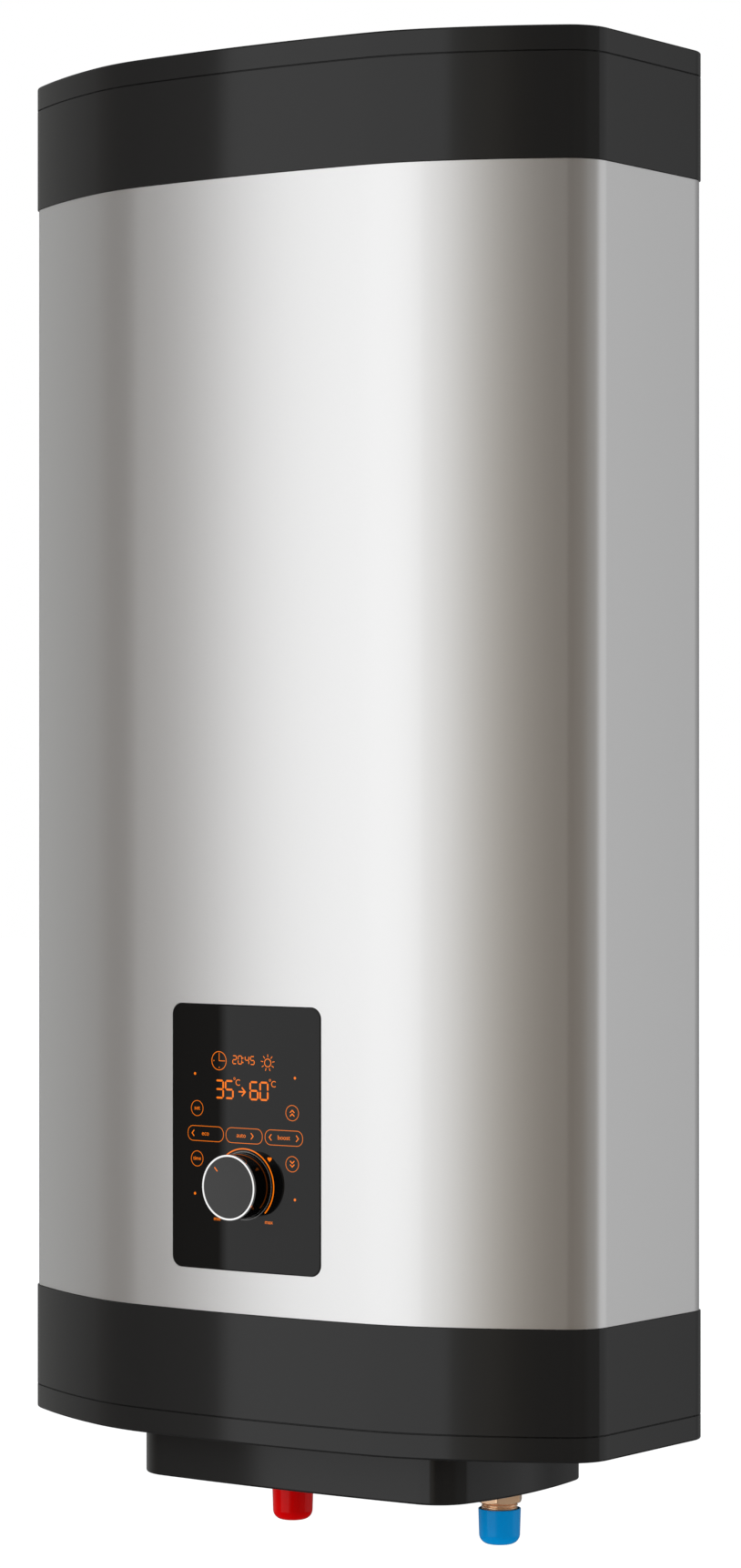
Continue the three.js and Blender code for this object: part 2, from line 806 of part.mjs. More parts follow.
// A chamfered hexagon with a male thread's crest cylinder below, bored for its pipe; its lower face is at zero.
function fittingSolid() {
  const circumradius = hexFlats / 2 / Math.cos(Math.PI / hexagonSides);
  const chamfered = turned(
    [[0, 0], [hexFaceRadius, 0], [circumradius, hexChamfer], [circumradius, hexHeight - hexChamfer],
      [hexFaceRadius, hexHeight], [0, hexHeight]],
    hexagonSides * 4,
  );
  const hex = prism(hexagon(circumradius), [0, hexHeight]).intersect(chamfered);
  const runOut = threadRadius - waterway;
  const tail = turned(
    [[0, -threadLength], [threadRadius - runOut / 4, -threadLength],
      [threadRadius, -threadLength + runOut / 4], [threadRadius, hexHeight / 2], [0, hexHeight / 2]],
    turnSides,
  );
  const bore = rod(waterway, [-threadLength - overrun, hexHeight + overrun], 0, 0, turnSides);
  const socket = rod(pipeRadius + fit, [socketStop, hexHeight + overrun], 0, 0, turnSides);
  return cut(join(hex, tail), bore, socket);
}

// A push-on transit cap about its own axis, with its rim at zero.
function capSolid() {
  const foot = -capHeight;
  const corner = Array.from({ length: roundSteps + 1 }, (_, i) => {
    const angle = (rightAngle * i) / roundSteps;
    return [
      capFootRadius - capCorner * (1 - Math.sin(angle)),
      foot + capCorner * (1 - Math.cos(angle)),
    ];
  });
  const bore = threadRadius + capSlip;
  const ease = capFloor; // the bore's bottom edge is eased to follow the corner
  return turned(
    [
      [0, foot],
      ...corner,
      [capRadius, 0],
      [bore, 0],
      [bore, foot + capCorner],
      [bore - ease, foot + capFloor],
      [0, foot + capFloor],
    ],
    turnSides,
  );
}

// A rubber bush in the bottom lid round a pipe, with a lip on each side of the lid.
function grommetSolid() {
  const bore = pipeRadius + fit;
  const lip = grommetRadius + grommetLip;
  const low = -fit;
  const high = lidThickness + fit;
  return turned(
    [[bore, low - grommetLip], [lip, low - grommetLip], [lip, low], [grommetRadius, low],
      [grommetRadius, high], [lip, high], [lip, high + grommetLip], [bore, high + grommetLip],
      [bore, low - grommetLip]],
    smallTurnSides,
  );
}

// Service cover and electrics
function standoffs(height) {
  const x = powerBoardWidth / 2 - standoffInset;
  const y = powerBoardDepth / 2 - standoffInset;
  return sides.flatMap((across) =>
    sides.map((along) => rod(standoffRadius, height, across * x, powerBoardY + along * y, pegSides)),
  );
}

function serviceCoverSolid() {
  const rim = casingBottom - fit;
  const floor = coverBottom + coverWall;
  const edge = quarterRound(coverEdgeRadius, coverBottom + coverEdgeRadius, coverBottom).reverse();
  const tray = carryRound(coverPlan, [...edge, [0, rim], [coverWall, rim], [coverWall, floor]]);
  const bossX = coverHalfWidth - coverBossInset;
  const bossY = [coverSetback + coverBossInset + coverCornerRadius / 2, coverRearSetback - coverBossInset];
  const bosses = sides.flatMap((side) =>
    bossY.map((setback) =>
      rod(coverBossRadius, [coverBottom + coverWall / 2, rim], side * bossX, casingFront + setback, pegSides),
    ),
  );
  const through = [coverBottom - overrun, floor + overrun];
  const pipeHoles = sides.map((side) => rod(coverPipeHole, through, side * pipeX, pipeY, turnSides));
  const glandHole = rod(glandRadius + fit, through, 0, casingFront + glandSetback);
  return cut(join(tray, ...bosses), ...pipeHoles, glandHole);
}

const boardTop = casingBottom - standoff - fit;
const boardUnderside = boardTop - boardThickness;
const componentTop = boardUnderside - fit;

// A box hung under the power board at x, y.
function component(width, depth, height, x, y) {
  return block(
    [x - width / 2, x + width / 2],
    [y - depth / 2, y + depth / 2],
    [componentTop - height, componentTop],
  );
}

function terminalBlockSolid() {
  const y = powerBoardY + blockOffset;
  const body = component(blockWidth, blockDepth, blockHeight, 0, y);
  const pitch = blockWidth / blockPoles;
  const cell = pitch / 2;
  const cells = Array.from({ length: blockPoles }, (_, i) => {
    const x = (i - (blockPoles - 1) / 2) * pitch;
    return block(
      [x - cell / 2, x + cell / 2],
      [y - cell / 2, y + cell / 2],
      [componentTop - blockHeight - overrun, componentTop - blockHeight / 2],
    );
  });
  return cut(body, ...cells);
}

const cutoutBottom = componentTop - cutoutHeight;

function cutoutSolid() {
  const well = buttonLength - buttonProud + buttonTravel + fit;
  const body = component(cutoutWidth, cutoutDepth, cutoutHeight, 0, powerBoardY);
  const bore = rod(buttonRadius + fit, [cutoutBottom - overrun, cutoutBottom + well], 0, powerBoardY);
  return cut(body, bore);
}

// A cable bush about its own axis, with the cover's underside at zero.
function glandSolid() {
  const shoulder = -fit;
  return turned(
    [[glandBore, -glandHead], [glandHeadRadius - fit, -glandHead], [glandHeadRadius, fit - glandHead],
      [glandHeadRadius, shoulder], [glandRadius, shoulder], [glandRadius, glandLength - glandHead],
      [glandBore, glandLength - glandHead], [glandBore, -glandHead]],
    smallTurnSides,
  );
}

// Control panel
const panelBand = [panelBottom - panelHeight, panelBottom + 2 * panelHeight];

function glassSolid() {
  const pane = bowedSlab(glassOuter, glassInner, panelBand);
  const outline = panelPrism(0, [casingFront - overrun, casingFront + housingDepth]);
  const hole = rod(shaftRadius + shaftHoleClearance, [-housingDepth, overrun])
    .rotate([90, 0, 0])
    .translate([0, casingFront, knobZ]);
  return cut(pane.intersect(outline), hole);
}

function housingSolid() {
  const rear = casingFront + housingDepth;
  const reach = [casingFront - overrun, rear + overrun];
  const flange = bowedSlab(spigotInset, spigotInset + housingFlange, panelBand).intersect(
    panelPrism(housingFlangeWidth, reach),
  );
  const body = bowedBlock(glassInner + fit, rear, panelBand).intersect(panelPrism(0, reach));
  const pocket = bowedSlab(-overrun, glassInner + fit, panelBand).intersect(panelPrism(fit, reach));
  const floor = rear - housingWall;
  const cavity = panelPrism(-housingLedge, [casingFront - overrun, floor]);
  const postX = panelWidth / 2 - housingLedge - boardMargin - boardPostRadius * 2;
  const postZ = panelHeight / 2 - housingLedge - boardMargin - boardPostRadius * 2;
  const postTip = casingFront + boardSetback + boardThickness + fit;
  const posts = sides.flatMap((across) =>
    sides.map((up) =>
      rod(boardPostRadius, [postTip, floor + housingWall / 2], across * postX, -(panelZ + up * postZ), pegSides)
        .rotate([-90, 0, 0]),
    ),
  );
  return join(cut(join(flange, body), pocket, cavity), ...posts);
}

function controlBoardSolid() {
  const halfWidth = panelWidth / 2 - housingLedge - boardMargin;
  const halfHeight = panelHeight / 2 - housingLedge - boardMargin;
  const front = casingFront + boardSetback;
  return block(
    [-halfWidth, halfWidth],
    [front, front + boardThickness],
    [panelZ - halfHeight, panelZ + halfHeight],
  );
}

function displaySolid() {
  const halfWidth = panelWidth / 2 - displayMargin;
  const rear = casingFront + boardSetback - fit;
  const top = panelBottom + panelHeight - displayDrop;
  return block(
    [-halfWidth, halfWidth],
    [rear - displayThickness, rear],
    [top - displayHeight, top],
  );
}

// Knob parts are about their own axis, which points out of the panel from the casing's front centre.
const knobBack = knobGap - glassOuter;
const knobFront = knobBack + knobDepth;
const knobShoulder = knobFront - ringHeight - fit;
const encoderBack = -boardSetback + fit;
const encoderFace = encoderBack + encoderHeight;
const bushTip = -glassInner - 2 * fit;
const shaftBack = encoderFace - shaftInEncoder + 2 * fit;

function encoderSolid() {
  const half = encoderWidth / 2;
  const body = block([-half, half], [-half, half], [encoderBack, encoderFace]);
  const bush = rod(shaftRadius + fit + bushWall, [encoderBack + encoderHeight / 2, bushTip]);
  return cut(join(body, bush), rod(shaftRadius + fit, [shaftBack - fit, overrun]));
}

function knobBodySolid() {
  const bore = shaftRadius + fit;
  const boreEnd = knobBack + shaftEngagement + fit;
  return turned(
    [[0, boreEnd], [bore, boreEnd], [bore, knobBack], [knobRadius - knobChamfer, knobBack],
      [knobRadius, knobBack + knobChamfer], [knobRadius, knobShoulder], [0, knobShoulder]],
    knobSides,
  );
}

function knobRingSolid() {
  const inner = knobRadius - ringWidth;
  const low = knobShoulder + fit;
  return turned(
    [[inner, low], [knobRadius, low], [knobRadius, knobFront - knobChamfer],
      [knobRadius - knobChamfer, knobFront], [inner, knobFront], [inner, low]],
    knobSides,
  );
}

function knobFaceSolid() {
  const radius = knobRadius - ringWidth - fit;
  const low = knobShoulder + fit;
  const high = knobFront - faceRecess;
  return turned([[0, low], [radius, low], [radius, high], [0, high - faceDish]], knobSides);
}

// Assembly
const heater = new THREE.Group();
const group = () => {
  const made = new THREE.Group();
  heater.add(made);
  return made;
};

const casing = group();
piece(casing, "outer_jacket", jacketSolid(), colour.silver);
piece(casing, "rear_panel", rearPanelSolid(), colour.galvanised);
piece(casing, "upper_band", carryRound(casingPlan, bandSection(), true), colour.blackPlastic);
piece(casing, "lower_band", carryRound(casingPlan, upsideDown(bandSection()), true), colour.blackPlastic);
piece(casing, "top_lid", carryRound(casingPlan, lidSection()), colour.blackPlastic);
piece(casing, "bottom_lid", bottomLidSolid(), colour.blackPlastic);
piece(casing, "service_cover", serviceCoverSolid(), colour.blackPlastic);
piece(casing, "insulation_foam", foamSolid(), colour.foam);
piece(casing, "upper_wall_bracket", bracketSolid(0, true), colour.galvanised);
piece(casing, "lower_wall_bracket", bracketSolid(-bracketPitch, false), colour.galvanised);

const panel = group();
piece(panel, "control_glass", glassSolid(), colour.blackGlass);
piece(panel, "panel_housing", housingSolid(), colour.component);
piece(panel, "control_board", controlBoardSolid(), colour.circuit);
piece(panel, "display_module", displaySolid(), colour.component);

const knob = group();
knob.position.set(0, casingFront, knobZ);
knob.rotation.x = rightAngle;
piece(knob, "encoder", encoderSolid(), colour.whitePlastic);
piece(knob, "knob_shaft", rod(shaftRadius, [shaftBack, knobBack + shaftEngagement]), colour.stainless);
piece(knob, "knob_body", knobBodySolid(), colour.glossBlack);
piece(knob, "knob_ring", knobRingSolid(), colour.chrome);
piece(knob, "knob_face", knobFaceSolid(), colour.darkGrey);

const water = group();
const linkNames = ["upper_link_pipe", "lower_link_pipe"];
linkNames.forEach((name, i) => {
  const bore = linkBar(linkRadius - linkWall, linkHeights[i], tankX);
  piece(water, name, cut(linkBar(linkRadius, linkHeights[i]), bore), colour.stainless);
});

const supplies = [
  { side: -1, tank: "left", name: "hot", cap: colour.red, mouth: tankTop - hotPipeStandoff },
  { side: 1, tank: "right", name: "cold", cap: colour.blue, mouth: tankBottom + coldPipeRise },
];
for (const { side, tank, name, cap, mouth } of supplies) {
  const axis = [side * pipeX, pipeY];
  const pipe = tube(pipeRadius, pipeRadius - pipeWall, [pipeEnd, mouth - fit]);
  piece(water, `tank_${tank}`, tankSolid(side), colour.stainless);
  piece(water, `${name}_pipe`, pipe, colour.stainless, [...axis, 0]);
  piece(water, `${name}_fitting`, fittingSolid(), colour.copper, [...axis, hexBottom]);
  piece(water, `${name}_cap`, capSolid(), cap, [...axis, capRim]);
  piece(water, `${name}_grommet`, grommetSolid(), colour.rubber, [...axis, casingBottom]);
}
piece(water, "cold_diffuser", diffuserSolid(), colour.whitePlastic);

const heating = group();
for (const { side, tank } of supplies) {
  const x = side * flangeX;
  const tail = flangeBottom - elementTails;
  piece(heating, `heater_flange_${tank}`, flangeSolid(side), colour.stainless);
  piece(heating, `flange_gasket_${tank}`, gasketSolid(side), colour.rubber);
  piece(heating, `heating_element_${tank}`, elementSolid(), colour.copper, [x, flangeY, tail]);
  piece(heating, `anode_${tank}`, anodeSolid(), colour.magnesium, [x, flangeY + rodPitch, flangeBottom]);
  piece(heating, `thermowell_${tank}`, wellSolid(), colour.stainless, [x, flangeY - rodPitch, flangeBottom]);
  piece(
    heating,
    `sensor_probe_${tank}`,
    rod(probeRadius, [-probeTail, wellLength - wellWall - fit], 0, 0, pegSides),
    colour.copper,
    [x, flangeY - rodPitch, flangeBottom],
  );
  boltPlaces(side).forEach(([boltX, boltY], i) => {
    const place = [boltX, boltY, flangeBottom - fit];
    piece(heating, `flange_bolt_${tank}_${i + 1}`, boltSolid(), colour.galvanised, place);
  });
}

const electrics = group();
const powerBoard = component(powerBoardWidth, powerBoardDepth, boardThickness, 0, powerBoardY);
piece(electrics, "power_board", powerBoard, colour.circuit, [0, 0, boardTop - componentTop]);
for (const side of sides) {
  const relay = component(relayWidth, relayDepth, relayHeight, side * (relayPitch / 2), powerBoardY - relayOffset);
  piece(electrics, side < 0 ? "relay_left" : "relay_right", relay, colour.component);
}
piece(electrics, "terminal_block", terminalBlockSolid(), colour.whitePlastic);
piece(electrics, "safety_cutout", cutoutSolid(), colour.component);
const button = rod(buttonRadius, [-buttonProud, buttonLength - buttonProud]);
piece(electrics, "reset_button", button, colour.red, [0, powerBoardY, cutoutBottom]);
const glandPlace = [0, casingFront + glandSetback, coverBottom];
piece(electrics, "cable_gland", glandSolid(), colour.rubber, glandPlace);

export default heater;
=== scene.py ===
"""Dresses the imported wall-hung electric water heater and lights it as a studio product picture.

X runs to the right as one faces the heater, Y to the wall and Z up. The heater's sizes are in millimetres
and turn into metres where a mesh is made. The studio's sizes are in metres.
"""
import json
import logging
import math
from dataclasses import dataclass, field
from enum import Enum

import bmesh
import bpy
import numpy as np
from mathutils.geometry import delaunay_2d_cdt
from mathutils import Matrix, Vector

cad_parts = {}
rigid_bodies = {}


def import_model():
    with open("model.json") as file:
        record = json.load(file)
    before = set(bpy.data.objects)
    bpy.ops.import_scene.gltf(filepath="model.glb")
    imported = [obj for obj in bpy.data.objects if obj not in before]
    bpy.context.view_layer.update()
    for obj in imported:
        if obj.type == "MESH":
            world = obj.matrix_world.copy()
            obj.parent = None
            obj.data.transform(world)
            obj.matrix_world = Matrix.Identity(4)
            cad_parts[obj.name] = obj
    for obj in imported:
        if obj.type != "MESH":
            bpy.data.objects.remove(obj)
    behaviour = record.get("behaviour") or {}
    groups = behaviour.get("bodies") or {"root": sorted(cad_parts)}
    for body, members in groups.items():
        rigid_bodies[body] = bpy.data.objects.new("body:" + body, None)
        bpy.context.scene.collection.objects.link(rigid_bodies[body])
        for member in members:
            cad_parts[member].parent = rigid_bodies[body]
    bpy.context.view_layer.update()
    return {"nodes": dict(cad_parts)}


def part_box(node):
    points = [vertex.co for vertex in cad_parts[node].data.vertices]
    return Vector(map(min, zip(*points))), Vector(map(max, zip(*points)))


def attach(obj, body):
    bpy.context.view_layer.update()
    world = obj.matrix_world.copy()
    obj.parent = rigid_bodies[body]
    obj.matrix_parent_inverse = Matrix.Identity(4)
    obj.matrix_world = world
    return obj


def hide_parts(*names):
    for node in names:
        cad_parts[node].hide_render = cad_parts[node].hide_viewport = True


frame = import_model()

log = logging.getLogger("water_heater")

MM = 0.001
TURN = 2 * math.pi
Bends = tuple[tuple[float | None, float], ...]
WELD = 0.004  # points of a piece that are this close are one
WELD_SHIFT = 0.137  # keeps round coordinates off the borders of the cells that points are sorted into
NEAR = 1e-6  # points of a flat outline that are this close are one
BRIM = 2.0  # how far a carried section runs in over a flat face before a fill takes over
FRONT_END = math.radians(85)  # heading at which a plan's front ends


# Meshes


def node_box(node: str) -> np.ndarray:
    """Returns a CAD node's lowest and highest corners in millimetres."""
    return np.array(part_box(node)) / MM


def node_middle(node: str) -> np.ndarray:
    """Returns the middle of a CAD node's box in millimetres."""
    return node_box(node).mean(axis=0)


def grid_faces(rows: int, columns: int, wrap_rows: bool = False, wrap_columns: bool = False) -> np.ndarray:
    """Numbers the quads of a grid of points.

    Args:
        rows: Points along the first parameter.
        columns: Points along the second parameter.
        wrap_rows: Joins the last row to the first.
        wrap_columns: Joins the last column to the first.

    Returns:
        One row of four point numbers for each quad.
    """
    index = np.arange(rows * columns).reshape(rows, columns)
    if wrap_rows:
        index = np.vstack([index, index[:1]])
    if wrap_columns:
        index = np.hstack([index, index[:, :1]])
    corners = [index[:-1, :-1], index[:-1, 1:], index[1:, 1:], index[1:, :-1]]
    return np.stack(corners, axis=-1).reshape(-1, 4)


def weld(points: np.ndarray) -> tuple[np.ndarray, np.ndarray]:
    """Finds the points that are one.

    Args:
        points: Coordinates, one row for each point.

    Returns:
        The number of the first of each distinct point, and each point's distinct number.
    """
    keys = np.round(points / WELD + WELD_SHIFT)
    _, first, where = np.unique(keys, axis=0, return_index=True, return_inverse=True)
    return first, where.reshape(-1)


def thicken(outer: np.ndarray, inner: np.ndarray, faces: np.ndarray) -> tuple[np.ndarray, np.ndarray]:
    """Makes a closed sheet of two skins with the same faces.

    An edge that only one face uses is an open one, and a quad joins it to its twin on the other skin.

    Args:
        outer: Points of the outer skin.
        inner: Points of the inner skin, in the same order.
        faces: Quads of a skin, a triangle repeating its last point.

    Returns:
        The points and faces of the closed sheet.
    """
    count = len(outer)
    edges = np.vstack([faces[:, [k, (k + 1) % 4]] for k in range(4)])
    edges = edges[edges[:, 0] != edges[:, 1]]
    low, high = edges.min(axis=1), edges.max(axis=1)
    _, first, uses = np.unique(low * count + high, return_index=True, return_counts=True)
    rim = edges[first[uses == 1]]
    walls = np.column_stack([rim[:, 1], rim[:, 0], rim[:, 0] + count, rim[:, 1] + count])
    return np.vstack([outer, inner]), np.vstack([faces, faces[:, ::-1] + count, walls])


def inside(points: np.ndarray, outline: np.ndarray) -> np.ndarray:
    """Tells which flat points lie in an outline: those with an odd number of its sides on their right.

    Args:
        points: Rows of x and y.
        outline: Closed loop of x and y.

    Returns:
        True for each point inside.
    """
    x, y = points[:, :1], points[:, 1:]
    start, end = outline, np.roll(outline, -1, axis=0)
    spans = (start[:, 1] > y) != (end[:, 1] > y)
    rise = np.where(end[:, 1] == start[:, 1], 1.0, end[:, 1] - start[:, 1])
    crossing = start[:, 0] + (y - start[:, 1]) / rise * (end[:, 0] - start[:, 0])
    return (np.count_nonzero(spans & (x < crossing), axis=1) % 2).astype(bool)


def flat_face(outline: np.ndarray, holes: list[np.ndarray], z: float) -> tuple[np.ndarray, np.ndarray]:
    """Fills an outline at one height, leaving holes open.

    Args:
        outline: Closed loop of x and y.
        holes: Closed loops of x and y inside the outline.
        z: Height of the face.

    Returns:
        Points and triangles, each triangle repeating its last point.
    """
    loops = [outline, *holes]
    starts = np.cumsum([0, *(len(loop) for loop in loops)])
    edges = [
        (int(a), int(b))
        for start, loop in zip(starts, loops)
        for a, b in zip(range(start, start + len(loop)), [*range(start + 1, start + len(loop)), start])
    ]
    made = delaunay_2d_cdt(np.vstack(loops).tolist(), edges, [], 0, NEAR, False)
    points = np.array([tuple(point) for point in made[0]])
    triangles = np.array(made[2])
    centres = points[triangles].mean(axis=1)
    keep = inside(centres, outline)
    for hole in holes:
        keep &= ~inside(centres, hole)
    triangles = triangles[keep]
    heights = np.full(len(points), z)
    return np.column_stack([points, heights]), np.column_stack([triangles, triangles[:, 2]])


def circle(x: float, y: float, radius: float, steps: int = 64) -> np.ndarray:
    """Returns a closed loop of x and y round a centre."""
    angle = np.arange(steps) * TURN / steps
    return np.column_stack([x + radius * np.cos(angle), y + radius * np.sin(angle)])


def rounded(corners: list[tuple[float, float, float]], closed: bool = True, steps: int = 6) -> np.ndarray:
    """Rounds a section's corners by arcs that are tangent to both of their sides.

    Args:
        corners: Two coordinates and a radius for each corner.
        closed: Whether the last corner runs on to the first.
        steps: Segments of each arc.

    Returns:
        The section's points, one row each.
    """
    places = np.array([corner[:2] for corner in corners], dtype=float)
    made = []
    for i, (_, _, radius) in enumerate(corners):
        place = places[i]
        if radius == 0 or (not closed and i in (0, len(corners) - 1)):
            made.append(place[None])
            continue
        back = places[i - 1] - place
        on = places[(i + 1) % len(places)] - place
        back, on = back / np.linalg.norm(back), on / np.linalg.norm(on)
        half = math.acos(np.clip(back @ on, -1, 1)) / 2
        middle = back + on
        centre = place + middle / np.linalg.norm(middle) * radius / math.sin(half)
        first = place + back * radius / math.tan(half) - centre
        last = place + on * radius / math.tan(half) - centre
        start = math.atan2(first[1], first[0])
        sweep = (math.atan2(last[1], last[0]) - start + math.pi) % TURN - math.pi
        angle = start + sweep * np.linspace(0, 1, steps + 1)
        made.append(centre + radius * np.column_stack([np.cos(angle), np.sin(angle)]))
    return np.vstack(made)


class Axis(Enum):
    """The axis that a turned piece is made about."""

    UP = "z"
    OUT = "y"


def turned(profile: np.ndarray, axis: Axis, centre: tuple[float, float], steps: int = 96) -> np.ndarray:
    """Turns a profile about an axis: each point goes round at its own radius and stays at its level.

    Args:
        profile: Rows of radius and level.
        axis: Direction of the axis.
        centre: The axis's other two coordinates.
        steps: Segments round the axis.

    Returns:
        A grid of points, profile by angle.
    """
    angle = np.arange(steps) * TURN / steps
    radius, level = profile[:, :1], profile[:, 1:]
    across = centre[0] + radius * np.cos(angle)
    other = centre[1] + radius * np.sin(angle)
    level = np.broadcast_to(level, across.shape)
    order = [across, other, level] if axis is Axis.UP else [across, level, other]
    return np.stack(order, axis=-1)


def put(name: str, data: bpy.types.ID) -> bpy.types.Object:
    """Puts a new object in the scene, at the origin.

    Args:
        name: Its name.
        data: The mesh, curve, camera or lamp that it shows.

    Returns:
        The object.
    """
    made = bpy.data.objects.new(name, data)
    bpy.context.scene.collection.objects.link(made)
    return made


# Finishes


def linear(colour: str) -> tuple[float, float, float, float]:
    """Turns an sRGB hex value to linear light, with full opacity.

    Args:
        colour: The value, as #RRGGBB.

    Returns:
        Red, green, blue and opacity.
    """
    parts = [int(colour[i : i + 2], 16) / 255 for i in (1, 3, 5)]
    light = [part / 12.92 if part <= 0.04045 else ((part + 0.055) / 1.055) ** 2.4 for part in parts]
    return (*light, 1.0)


def blank_tree(block: bpy.types.Material | bpy.types.World) -> bpy.types.NodeTree:
    """Gives a material or a world an empty node tree.

    Args:
        block: The material or world.

    Returns:
        Its tree.
    """
    block.use_nodes = True
    block.node_tree.nodes.clear()
    return block.node_tree


def add_node(
    tree: bpy.types.NodeTree, kind: str, inputs: dict | None = None, **settings: object
) -> bpy.types.Node:
    """Adds a node with its settings, its constants and its links.

    Args:
        tree: The node tree.
        kind: The node's type.
        inputs: A constant, or another node's output to link, for an input's name or number.
        **settings: The node's own properties.

    Returns:
        The node.
    """
    node = tree.nodes.new(kind)
    for name, value in settings.items():
        setattr(node, name, value)
    for key, value in (inputs or {}).items():
        if isinstance(value, bpy.types.NodeSocket):
            tree.links.new(value, node.inputs[key])
        else:
            node.inputs[key].default_value = value
    return node


@dataclass(frozen=True)
class Finish:
    """An opaque finish with an even grain: moulded, painted, cast or drawn.

    The grain varies the colour and the roughness about their values and lifts the surface.
    """

    name: str
    colour: str
    roughness: float
    metallic: float = 0.0
    ior: float = 1.5  # typical of plastics and glass, and the default that metals keep
    specular: float = 0.5
    grain: tuple[float, float, float] = (1.2, 1.2, 1.2)  # length of a grain along X, Y and Z
    lift: float = 0.0  # height of the grain
    spread: float = 0.02  # how far the roughness varies
    shade: float = 0.06  # share by which the colour varies
    # glow: the backlight of the lit print, and a painted highlight on the chrome ring.
    glow: str = ""  # colour of the light that it gives off

    def pattern(self, tree: bpy.types.NodeTree, place: bpy.types.NodeSocket) -> bpy.types.NodeSocket:
        """Returns the grain as a value from 0 to 1, here soft fractal noise."""
        noise = add_node(tree, "ShaderNodeTexNoise", {"Vector": place, "Scale": 1.0, "Detail": 3.0})
        return noise.outputs["Fac"]

    def material(self) -> bpy.types.Material:
        """Makes the finish's material on its first use.

        Returns:
            The material.
        """
        known = bpy.data.materials.get(self.name)
        if known is not None:
            return known
        made = bpy.data.materials.new(self.name)
        tree = blank_tree(made)
        where = add_node(tree, "ShaderNodeTexCoord")
        scale = tuple(1.0 / (length * MM) for length in self.grain)
        mapped = add_node(tree, "ShaderNodeMapping", {"Vector": where.outputs["Object"], "Scale": scale})
        grain = self.pattern(tree, mapped.outputs["Vector"])
        base = linear(self.colour)
        darker = (*(part * (1 - self.shade) for part in base[:3]), 1.0)
        lighter = (*(min(1.0, part * (1 + self.shade)) for part in base[:3]), 1.0)
        tone = add_node(tree, "ShaderNodeMix", {0: grain, 6: darker, 7: lighter}, data_type="RGBA")
        limits = {"To Min": self.roughness - self.spread, "To Max": self.roughness + self.spread}
        rough = add_node(tree, "ShaderNodeMapRange", {"Value": grain, **limits})
        inputs = {
            "Base Color": tone.outputs[2],
            "Roughness": rough.outputs["Result"],
            "Metallic": self.metallic,
            "IOR": self.ior,
            "Specular IOR Level": self.specular,
        }
        if self.lift:
            bump = add_node(tree, "ShaderNodeBump", {"Height": grain, "Distance": self.lift * MM})
            inputs["Normal"] = bump.outputs["Normal"]
        if self.glow:
            inputs["Emission Color"] = linear(self.glow)
            inputs["Emission Strength"] = 1.0
        shader = add_node(tree, "ShaderNodeBsdfPrincipled", inputs)
        add_node(tree, "ShaderNodeOutputMaterial", {"Surface": shader.outputs["BSDF"]})
        return made


@dataclass(frozen=True)
class SpangledZinc(Finish):
    """Hot-dip galvanised steel: flat zinc crystals of a few millimetres, each with its own grey."""

    waver: float = 0.35  # how far a crystal's border strays, as a share of the crystal

    def pattern(self, tree: bpy.types.NodeTree, place: bpy.types.NodeSocket) -> bpy.types.NodeSocket:
        """Gives each crystal one grey, from Voronoi cells whose borders waver with noise.

        Args:
            tree: The material's node tree.
            place: The place in the pattern.

        Returns:
            The grey.
        """
        noise = add_node(tree, "ShaderNodeTexNoise", {"Vector": place, "Scale": 2.0, "Detail": 2.0})
        sway = {0: noise.outputs["Color"], 1: (self.waver,) * 3, 2: place}
        moved = add_node(tree, "ShaderNodeVectorMath", sway, operation="MULTIPLY_ADD")
        cells = add_node(tree, "ShaderNodeTexVoronoi", {"Vector": moved.outputs["Vector"], "Scale": 1.0})
        grey = add_node(tree, "ShaderNodeSeparateColor", {"Color": cells.outputs["Color"]})
        return grey.outputs["Red"]


@dataclass(frozen=True)
class CellularFoam(Finish):
    """Rigid polyurethane foam: closed cells under a matt cut skin."""

    def pattern(self, tree: bpy.types.NodeTree, place: bpy.types.NodeSocket) -> bpy.types.NodeSocket:
        """Returns the distance to each cell's middle."""
        cells = add_node(tree, "ShaderNodeTexVoronoi", {"Vector": place, "Scale": 1.0}, feature="SMOOTH_F1")
        return cells.outputs["Distance"]


@dataclass(frozen=True)
class TrackedLaminate(Finish):
    """Circuit board: green solder mask over copper tracks, which lift and lighten it in lines."""

    gap: float = 0.12  # half the gap between two tracks, as a share of their spacing

    def pattern(self, tree: bpy.types.NodeTree, place: bpy.types.NodeSocket) -> bpy.types.NodeSocket:
        """Tells tracks from gaps, by the distance to a Voronoi cell's border.

        Args:
            tree: The material's node tree.
            place: The place in the pattern.

        Returns:
            1 on a track and 0 in a gap.
        """
        spread = {"Vector": place, "Scale": 1.0}
        cells = add_node(tree, "ShaderNodeTexVoronoi", spread, feature="DISTANCE_TO_EDGE")
        both = {0: cells.outputs["Distance"], 1: self.gap}
        track = add_node(tree, "ShaderNodeMath", both, operation="GREATER_THAN")
        return track.outputs["Value"]


# Sheet steel under a satin metallic lacquer: a soft, even silver that blurs what it reflects. The
# lacquer's flakes are 0.1 mm, drawn at 0.6 mm so that they show.
SATIN_STEEL = Finish(
    "satin_lacquered_steel", "#F6F6F6", 0.30, 0.93, grain=(0.6, 0.6, 0.6), spread=0.012, shade=0.02
)
# Moulded black ABS with a fine polish: clear reflections that dim the black only a little.
BLACK_ABS = Finish(
    "moulded_black_abs", "#191919", 0.10, specular=0.39, grain=(0.9, 0.9, 0.9), lift=0.0015, spread=0.015
)
# Toughened glass printed black on its back: deep black with hard reflections.
BACKED_GLASS = Finish("black_backed_glass", "#080808", 0.02, specular=0.36, grain=(60, 60, 60), spread=0.004)
# Polished black ABS: the knob's barrel, a black mirror.
PIANO_ABS = Finish("polished_black_abs", "#030303", 0.04, specular=0.39, grain=(40, 40, 40), spread=0.01)
